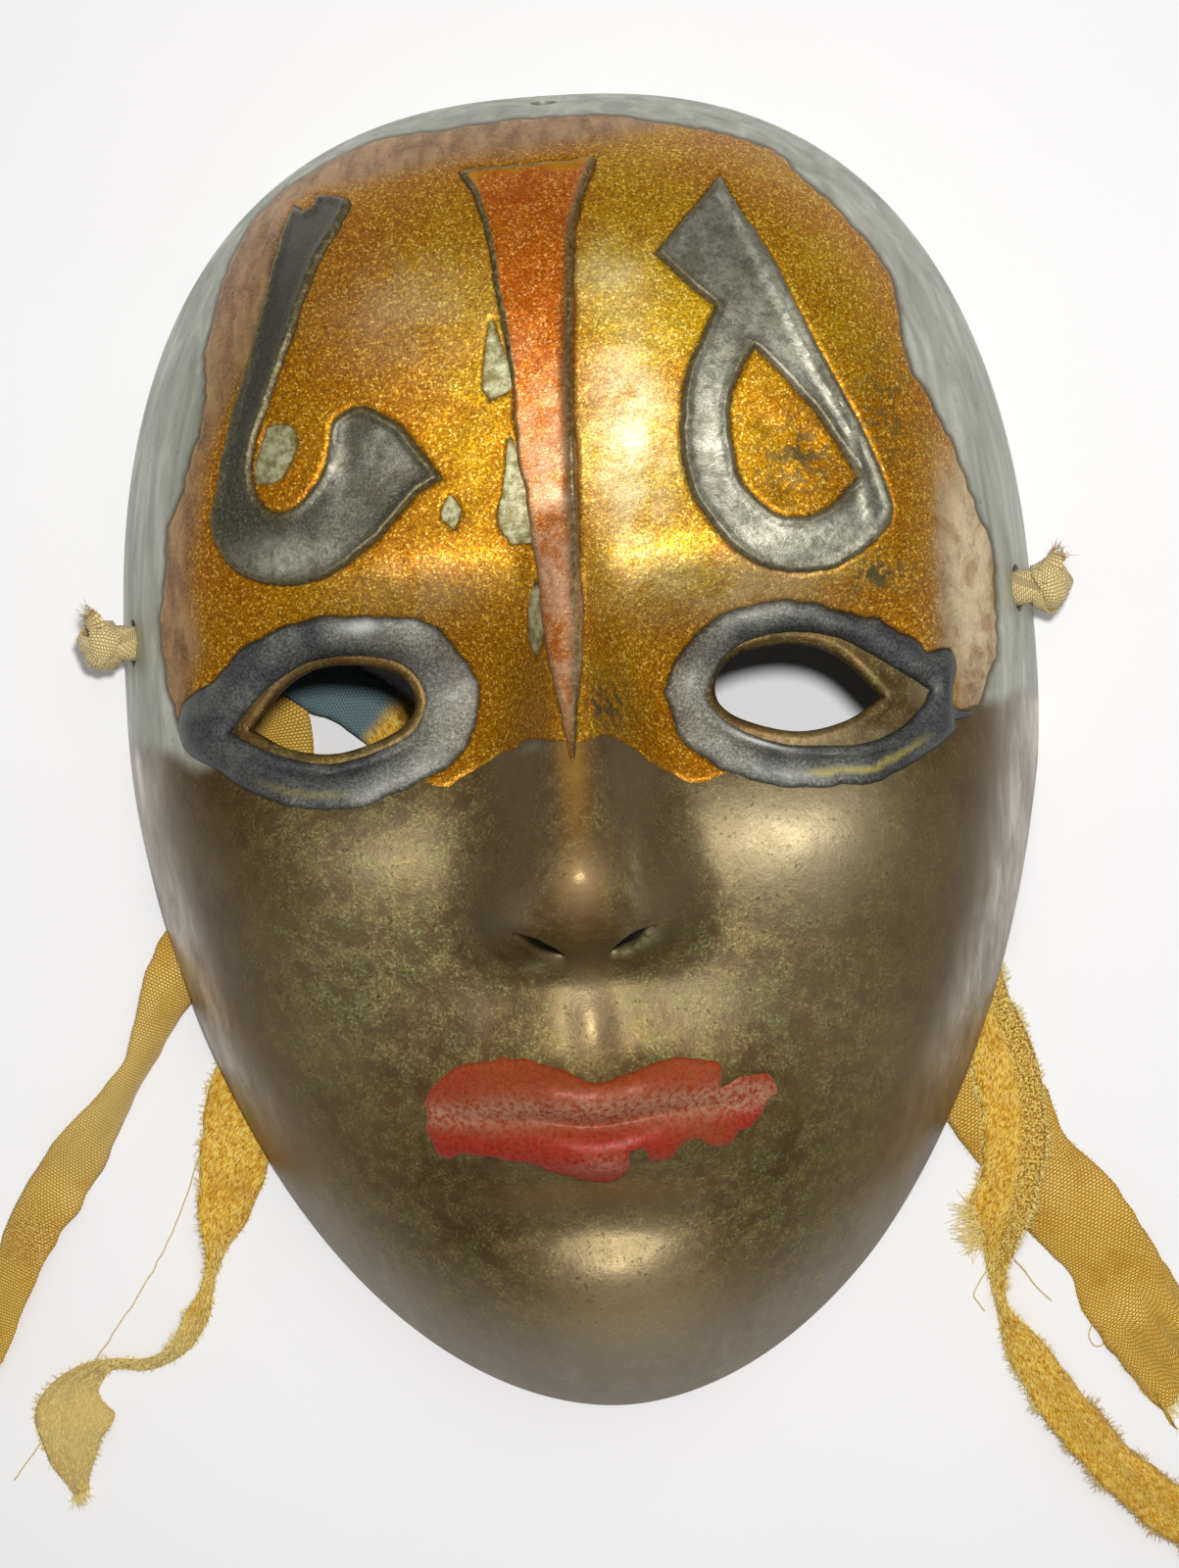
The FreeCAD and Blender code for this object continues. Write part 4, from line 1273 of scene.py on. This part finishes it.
def fringe(grid, rng, edge_count, end_count, edge_length, end_length, nap=0, start=4, nap_start=4):
    """Fibres along both edges of a band, beyond its torn end and, as a nap, on its upper face."""
    count, across_count, _ = grid.shape
    parts = []
    i = rng.integers(start, count - 2, edge_count)
    left = rng.random(edge_count) < 0.5
    j = np.where(left, 0, across_count - 1)
    root = grid[i, j]
    out = directions(root - grid[i, np.where(left, 1, across_count - 2)])
    along = directions(grid[i + 1, j] - root)
    way = directions(out + along * rng.normal(0.35, 0.6, edge_count)[:, None])
    uneven = 0.7 + 0.5 * lattice(i * 0.8, j * 1.0, 3, 5)
    parts.append(hairs(root - way * 0.25, way, edge_length * rng.uniform(0.4, 1.3, edge_count) * uneven, rng))
    j = rng.uniform(0, across_count - 1, end_count)
    low = np.floor(j).astype(int)
    high = np.minimum(low + 1, across_count - 1)
    root = grid[-1, low] + (grid[-1, high] - grid[-1, low]) * (j - low)[:, None]
    way = directions(grid[-1, low] - grid[-4, low]) + rng.normal(0, 0.35, (end_count, 3))
    way[:, 2] = np.abs(way[:, 2]) * 0.3
    way = directions(way)
    parts.append(hairs(root - way * 0.6, way, end_length * rng.uniform(0.35, 1.2, end_count), rng))
    if nap:
        i = rng.integers(nap_start, count - 2, nap)
        j = rng.integers(0, across_count - 1, nap)
        u, v = rng.random((2, nap, 1))
        near = grid[i, j] * (1 - u) + grid[i + 1, j] * u
        far = grid[i, j + 1] * (1 - u) + grid[i + 1, j + 1] * u
        root = near * (1 - v) + far * v
        along = directions(grid[i + 1, j] - grid[i, j])
        across = directions(grid[i, j + 1] - grid[i, j])
        up = np.cross(across, along)
        up *= np.sign(up[:, 2:3] + 1e-9)
        way = directions(along + 0.35 * up + across * rng.normal(0, 0.45, (nap, 1)))
        parts.append(hairs(root + up * THICK * 0.4, way, rng.uniform(0.5, 1.1, nap), rng, 0.075, 0.35, 3))
    return joined(parts)


def cloth_mesh(name, points, faces, along=0.0, across=0.0, tint=0.0, dull=0.0, fuzz=0.0, brown=0.0):
    """A mesh with every number per point that the ribbon materials read."""
    return add_mesh(name, points, faces, along=along, across=across, tint=tint, dull=dull, fuzz=fuzz,
                    brown=brown)


def thread(name, route, cloth, radius, seed, corners=5):
    """A loose thread along a smooth line that given points steer, in millimetres."""
    rng = np.random.default_rng(seed)
    line, at = evenly(spline_points(np.array(route) * MM) / MM, 0.6)
    line[:, 0] += 0.16 * lattice(at, 0 * at, 1.6, seed)
    line[:, 1] += 0.16 * lattice(at, 0 * at + 9, 1.6, seed)
    line[:, 2] = np.maximum(line[:, 2] + 0.1 * rng.random(), radius)
    tangent = directions(np.gradient(line, axis=0))
    side = directions(np.cross(tangent, (0.1, 0.2, 1.0)))
    up = np.cross(side, tangent)
    points = []
    for k in range(corners):
        turn = 2 * math.pi * k / corners
        points.append(line + radius * (side * math.cos(turn) + up * math.sin(turn)))
    points = np.stack(points, axis=1).reshape(-1, 3)
    faces = tube_faces(len(line), corners)
    faces += [list(range(corners))[::-1], [len(points) - corners + j for j in range(corners)]]
    piece = cloth_mesh(name, points, faces, along=np.repeat(at, corners), dull=1.0)
    return settle(piece, None, cloth)


def ribbon(name, node, route, width, cloth, shape, fray, tones):
    """One ribbon tail as a flat band of cloth of its real length and width."""
    route_line = spline_points(np.array(route) * MM)
    verts, faces, grid, along, across, rng = band(route_line / MM, width, **shape)
    fibre_points, fibre_faces = fringe(grid, rng, **fray)
    points, all_faces = joined([(verts, faces), (fibre_points, fibre_faces)])
    # a fibre takes its place on the cloth from the nearest row of the band
    rows = grid[:, grid.shape[1] // 2]
    near = np.concatenate([
        np.argmin(((chunk[:, None, :2] - rows[None, :, :2]) ** 2).sum(axis=2), axis=1)
        for chunk in np.array_split(fibre_points, max(1, len(fibre_points) // 4000))
    ])
    fibre_along = near / (len(rows) - 1) * along.max()
    loose = np.ones(len(fibre_points))
    every_along = np.r_[along, fibre_along]
    every_across = np.r_[across, loose * 0]
    values = {key: np.clip(rule(every_along, every_across), 0, 1) for key, rule in tones.items()}
    piece = cloth_mesh(name, points, all_faces, along=np.r_[along, loose * 0], across=every_across,
                       fuzz=np.r_[np.zeros(len(verts)), loose], **values)
    settle(piece, node, cloth)
    tuple(route_line[0])
    return piece


def knot_piece(side, word, cloth):
    """A knot of ribbon outside the temple, its neck through the hole and the gather behind it."""
    rng = np.random.default_rng(70 + side)
    low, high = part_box(word + "_knot")
    y, z = (low.y + high.y) / 2 / MM, (low.z + high.z) / 2 / MM
    tip = (low.x if side < 0 else high.x) / MM
    knob = np.array([tip - side * 4.4, y, z])
    gather = np.array([(high.x if side < 0 else low.x) / MM + side * 5.6, y, z])
    parts, alongs, acrosses = [], [], []

    def add(points, faces, along=0.0, across=0.0):
        parts.append((points, faces))
        alongs.append(along + np.zeros(len(points)))
        acrosses.append(across + np.zeros(len(points)))

    def wrap(centre, radii, lean, roll, wide, turns=40, columns=7):
        """A closed turn of ribbon about the ribbon hole's axis, tipped by lean and roll."""
        turn = np.linspace(0, 2 * math.pi, turns, endpoint=False)
        tip_over = np.array(Matrix.Rotation(lean, 3, "Z") @ Matrix.Rotation(roll, 3, "Y"))
        wobble = 1 + 0.07 * np.sin(3 * turn + rng.uniform(0, 6)) + 0.04 * np.sin(5 * turn + rng.uniform(0, 6))
        ring = []
        v = np.linspace(-1, 1, columns)
        for t, w in zip(turn, wobble):
            for face, layer in ((1, v), (-1, v[::-1])):
                for vj in layer:
                    bulge = (1 - vj ** 2) * 0.9 + 0.22 * math.sin(7 * vj + 2 * t)
                    thick = 0.22 * face * (1 if abs(vj) < 0.99 else 0.4)
                    ring.append(centre + tip_over @ np.array([
                        vj * wide / 2 * (1 + 0.15 * math.sin(2 * t)),
                        (radii[0] * w + bulge + thick) * math.cos(t),
                        (radii[1] * w + bulge + thick) * math.sin(t),
                    ]))
        around = 2 * columns
        faces = [[a, d, c, b] for a, b, c, d in tube_faces(turns, around, closed=True)]
        add(ring, faces, np.repeat(turn * 3, around), np.tile(np.r_[v, v[::-1]] * 3, turns))

    wrap(knob, (2.6, 2.7), side * 0.25, 0.2, 4.4)
    wrap(knob + np.array([side * 0.5, 0.8, 0.4]), (1.9, 2.2), side * 1.2, 0.5, 4.2)
    wrap(knob + np.array([0, -0.9, 0.0]), (2.0, 1.9), side * -0.9, -0.6, 4.0)
    wrap(gather, (3.6, 3.8), side * 0.2, 0.15, 5.0)
    wrap(gather + np.array([side * -0.5, 0.6, 0]), (3.0, 3.2), side * 1.1, 0.4, 4.6)

    # neck: a twisted bunch of ribbon through the hole
    rows, around = 19, 12
    ring = []
    for i in range(rows):
        p = gather + (knob - gather) * i / (rows - 1)
        for j in range(around):
            t = 2 * math.pi * j / around + i * 0.12
            r = 2.5 + 0.35 * math.sin(3 * t + i * 0.5)
            ring.append(p + np.array([0, r * math.cos(t), r * math.sin(t)]))
    ends = [list(range(around))[::-1], [len(ring) - around + j for j in range(around)]]
    add(ring, tube_faces(rows, around) + ends, np.repeat(np.arange(float(rows)), around),
        np.tile(np.arange(float(around)), rows))

    # a torn stub with fuzz on the side that is seen
    stub_route = np.array([knob + (0, 1, 1), knob + (side * 0.6, 3.2, 2.6), knob + (side * 1.8, 5.2, 2.2)])
    stub, stub_faces, grid, along, across, stub_rng = band(
        stub_route, 4.2, [(0, 20), (1, 60)], [(0, 0.8), (1, 0.3)], [(0, 0.7), (1, 1)], 1.5, 75 + side,
        across_count=8, step=0.5)
    add(stub, stub_faces, along, across)
    add(*fringe(grid, stub_rng, 30, 60, 1.0, 2.6))
    points, all_faces = joined(parts)
    piece = cloth_mesh(word + "_knot_ribbon", points, all_faces, np.hstack(alongs), np.hstack(acrosses))
    return settle(piece, word + "_knot", cloth)


def torn_corner(cloth, count=260):
    """The fibres of the torn corner beside the pile ribbon, about its middle."""
    rng = np.random.default_rng(97)
    roots = np.c_[rng.uniform(-2.0, 2.6, count), rng.uniform(-3.4, 3.0, count), rng.uniform(0.5, 1.3, count)]
    roots += (56.0, -75.2, 0)
    ways = np.c_[-1 + rng.normal(0, 0.25, count), rng.normal(-0.25, 0.5, count), rng.normal(0.1, 0.15, count)]
    fibres = hairs(roots, directions(ways), rng.uniform(1.6, 4.4, count), rng, 0.09)
    return settle(cloth_mesh("right_torn_corner", *fibres, fuzz=1.0), None, cloth)


def ribbons():
    satin = ribbon_cloth("ribbon_satin", (248, 212, 112), (232, 178, 48), (164, 106, 14), False)
    pile = ribbon_cloth("ribbon_pile", (255, 226, 104), (232, 170, 28), (170, 104, 8), True)
    pale = ribbon_cloth("ribbon_pale", (248, 234, 180), (230, 204, 132), (172, 138, 70), False)
    left = knot_piece(-1, "left", pale)
    right = knot_piece(1, "right", pale)
    corner = torn_corner(pile)
    strays = [thread("right_loose_thread_%d" % k, route, pile, 0.1, k) for k, route in enumerate((
        [(58.5, -79.5, 1.2), (57.2, -81.5, 0.8), (54.6, -84.5, 0.2), (53.6, -86.6, 0.2), (55.6, -88.6, 0.2)],
        [(60.4, -81, 1.2), (61.8, -82.6, 0.8), (63.6, -85.4, 0.2), (65.8, -87.6, 0.2)],
    ))]
    loops = thread("satin_loose_thread", [
        (72.4, -90.4, 0.4), (70.8, -92.5, 0.2), (71.6, -95.2, 0.2), (73.4, -94.6, 0.2), (74.6, -92.4, 0.4),
    ], satin, 0.1, 6)
    left_thread = thread("left_loose_thread", [
        (-57.5, -41, 0.15), (-59.5, -49, 0.15), (-64, -63, 0.15), (-69, -73, 0.2), (-76, -83, 0.2),
        (-81.5, -90, 1.4), (-86, -97, 0.6), (-94, -106, 0.2),
    ], pale, 0.11, 91)
    ribbon(
        "left_long_tail", "left_long_ribbon", LEFT_LONG, 10.0, satin,
        dict(twist=[(0, 50), (0.1, 0), (0.3, 4), (0.42, 12), (0.5, 44), (0.6, 22), (0.7, -10), (0.85, -20),
                    (1, 10)],
             curl=[(0, 0.3), (0.3, 0.4), (0.5, 1.2), (0.75, 0.7), (1, 0.4)],
             narrow=[(0, 0.5), (0.1, 0.9), (0.3, 0.9), (0.42, 0.86), (0.5, 0.56), (0.56, 0.58), (0.66, 0.84),
                     (0.76, 0.8), (0.86, 0.6), (1, 0.8)],
             frayed=4.0, seed=81, flares=[(0.62, -1, 0.8, 3), (0.68, -1, 0.7, 2.5), (0.3, 1, 0.5, 4)]),
        dict(edge_count=240, end_count=70, edge_length=0.45, end_length=3.4),
        dict(brown=lambda along, across: 0.6 * spot(along, across, 106, -1, 5, 9),
             dull=lambda along, across: 0.45 * hump(along, 82, 16)))
    ribbon(
        "left_short_tail", "left_short_ribbon", LEFT_SHORT, 10.0, pile,
        dict(twist=[(0, 50), (0.1, 0), (0.4, 4), (0.6, 6), (0.66, 20), (0.71, 55), (0.76, 30), (0.82, 50),
                    (0.88, 20), (0.94, -8), (1, 0)],
             curl=[(0, 0.3), (0.4, 0.4), (0.6, 0.7), (0.72, 0.5), (0.8, 0.4), (1, 0.4)],
             narrow=[(0, 0.5), (0.1, 0.9), (0.5, 0.95), (0.6, 1.05), (0.66, 0.84), (0.72, 0.24), (0.77, 0.4),
                     (0.81, 0.3), (0.85, 0.2), (0.885, 0.5), (0.92, 1.05), (0.96, 0.85), (1, 0.25)],
             frayed=2.0, seed=82, lifts=0.1, flares=[(0.93, -1, 1.9, 2.8)]),
        dict(edge_count=1700, end_count=110, edge_length=1.25, end_length=2.4, nap=2600, start=60,
             nap_start=66),
        # tint: a painted blue-grey reflection where the ribbon lies behind the left eye.
        dict(tint=lambda along, across: smooth((29 - along) / 3),
             dull=lambda along, across: 0.75 * smooth((along - 124) / 14)))
    ribbon(
        "right_pile_tail", "right_pile_ribbon", RIGHT_PILE, 10.0, pile,
        dict(twist=[(0, 50), (0.1, 0), (0.3, 3), (0.42, 8), (0.52, -8), (0.6, -40), (0.645, -66), (0.69, -16),
                    (0.8, 18), (0.9, 6), (1, 0)],
             curl=[(0, 0.3), (0.3, 0.5), (0.5, 0.8), (0.62, 0.8), (0.8, 0.8), (1, 0.4)],
             narrow=[(0, 0.5), (0.1, 0.8), (0.3, 0.88), (0.44, 0.98), (0.54, 0.86), (0.6, 0.55),
                     (0.645, 0.26), (0.69, 0.55), (0.76, 0.68), (1, 0.74)],
             frayed=4.0, seed=83, lifts=0.9, flares=[(0.565, 1, 2.2, 3.0)]),
        dict(edge_count=3000, end_count=120, edge_length=1.75, end_length=3.0, nap=2800, start=45,
             nap_start=45),
        # brown: painted shade of a fold along one edge, and a browner strip along the middle near the end.
        dict(brown=lambda along, across: smooth((-across - 0.4) / 1.2) * smooth((along - 52) / 8)
             * smooth((104 - along) / 6) + 0.5 * smooth((along - 118) / 10) * hump(across, 0.5, 1.6)))
    ribbon(
        "right_satin_tail", "right_satin_ribbon", RIGHT_SATIN, 14.0, satin,
        dict(twist=[(0, 50), (0.1, 0), (0.35, 2), (0.55, 5), (0.75, -5), (0.9, 4), (1, 0)],
             curl=[(0, 0.3), (0.3, 0.3), (0.6, 0.6), (0.8, 0.5), (1, 0.3)],
             narrow=[(0, 0.4), (0.1, 0.7), (0.3, 0.8), (0.45, 0.95), (0.7, 1.03), (1, 1.0)],
             frayed=7.0, seed=84, across_count=16, wavy=0.5,
             flares=[(0.6, -1, 0.9, 2.2), (0.66, -1, -1.4, 5), (0.7, 1, 0.9, 2.2), (0.78, 1, -1.4, 4)]),
        dict(edge_count=700, end_count=120, edge_length=0.8, end_length=3.4),
        dict(brown=lambda along, across: 0.3 * lattice(along, across, 6, 92)))


# ---------------------------------------------------------------- stage, light and camera
FLOOR_HALF = 3.0                    # metres from the middle of the table to its edges
FLOOR_DROP = 5e-5                   # how far the table lies below the rim
ROOM_LIGHT = 0.28
SENSOR = 36.0                       # millimetres
VIEW_HEIGHT = 238.8                 # millimetres of the table that the camera sees from top to bottom
CAMERA_AT = (0.012, -0.005, 0.48)
LOOKS_AT = (0.0005, -0.0051, 0)
CAMERA_ROLL = math.radians(3.5)


def look_from(obj, place, target, up):
    """Turns an object so that its -Z points from place to target with up as near +Y as can be."""
    place, target = Vector(place), Vector(target)
    back = (place - target).normalized()
    right = Vector(up).cross(back).normalized()
    above = back.cross(right)
    turn = Matrix((right, above, back)).transposed().to_4x4()
    obj.matrix_world = Matrix.Translation(place) @ turn


def soft_light(name, place, target, size, watts):
    light = bpy.data.lights.new(name, "AREA")
    light.shape = "DISK"
    light.size = size
    light.energy = watts
    holder = bpy.data.objects.new(name, light)
    bpy.context.scene.collection.objects.link(holder)
    look_from(holder, place, target, (0, 1, 0))


def stage():
    """A white table, the flash above the camera, a weak lamp overhead, and the camera."""
    flat = bpy.data.meshes.new("floor")
    corners = [(-1, -1), (1, -1), (1, 1), (-1, 1)]
    flat.from_pydata([(FLOOR_HALF * x, FLOOR_HALF * y, -FLOOR_DROP) for x, y in corners], [], [(0, 1, 2, 3)])
    flat.materials.append(pale_floor())
    floor = bpy.data.objects.new("floor", flat)
    bpy.context.scene.collection.objects.link(floor)

    world = bpy.data.worlds.new("studio")
    bpy.context.scene.world = world
    world.use_nodes = True
    background = world.node_tree.nodes["Background"]
    background.inputs["Color"].default_value = (1.0, 0.995, 0.99, 1)
    background.inputs["Strength"].default_value = ROOM_LIGHT
    soft_light("flash", (0.037, 0.042, 0.48), (0, 0, 0.02), 0.034, 1.62)
    soft_light("overhead", (0.25, 0.5, 0.95), (0, 0, 0.03), 0.7, 1.0)

    camera = bpy.data.cameras.new("camera")
    camera.sensor_width = SENSOR
    camera.lens = SENSOR * CAMERA_AT[2] / MM / VIEW_HEIGHT
    camera.clip_start = 0.02
    holder = bpy.data.objects.new("camera", camera)
    bpy.context.scene.collection.objects.link(holder)
    look_from(holder, CAMERA_AT, LOOKS_AT, (math.sin(CAMERA_ROLL), math.cos(CAMERA_ROLL), 0))
    bpy.context.scene.camera = holder
    bpy.context.scene.view_settings.view_transform = "Standard"


stage()
ribbons()
settle(mask_shell(), "mask_shell", aged_brass())
decoration()
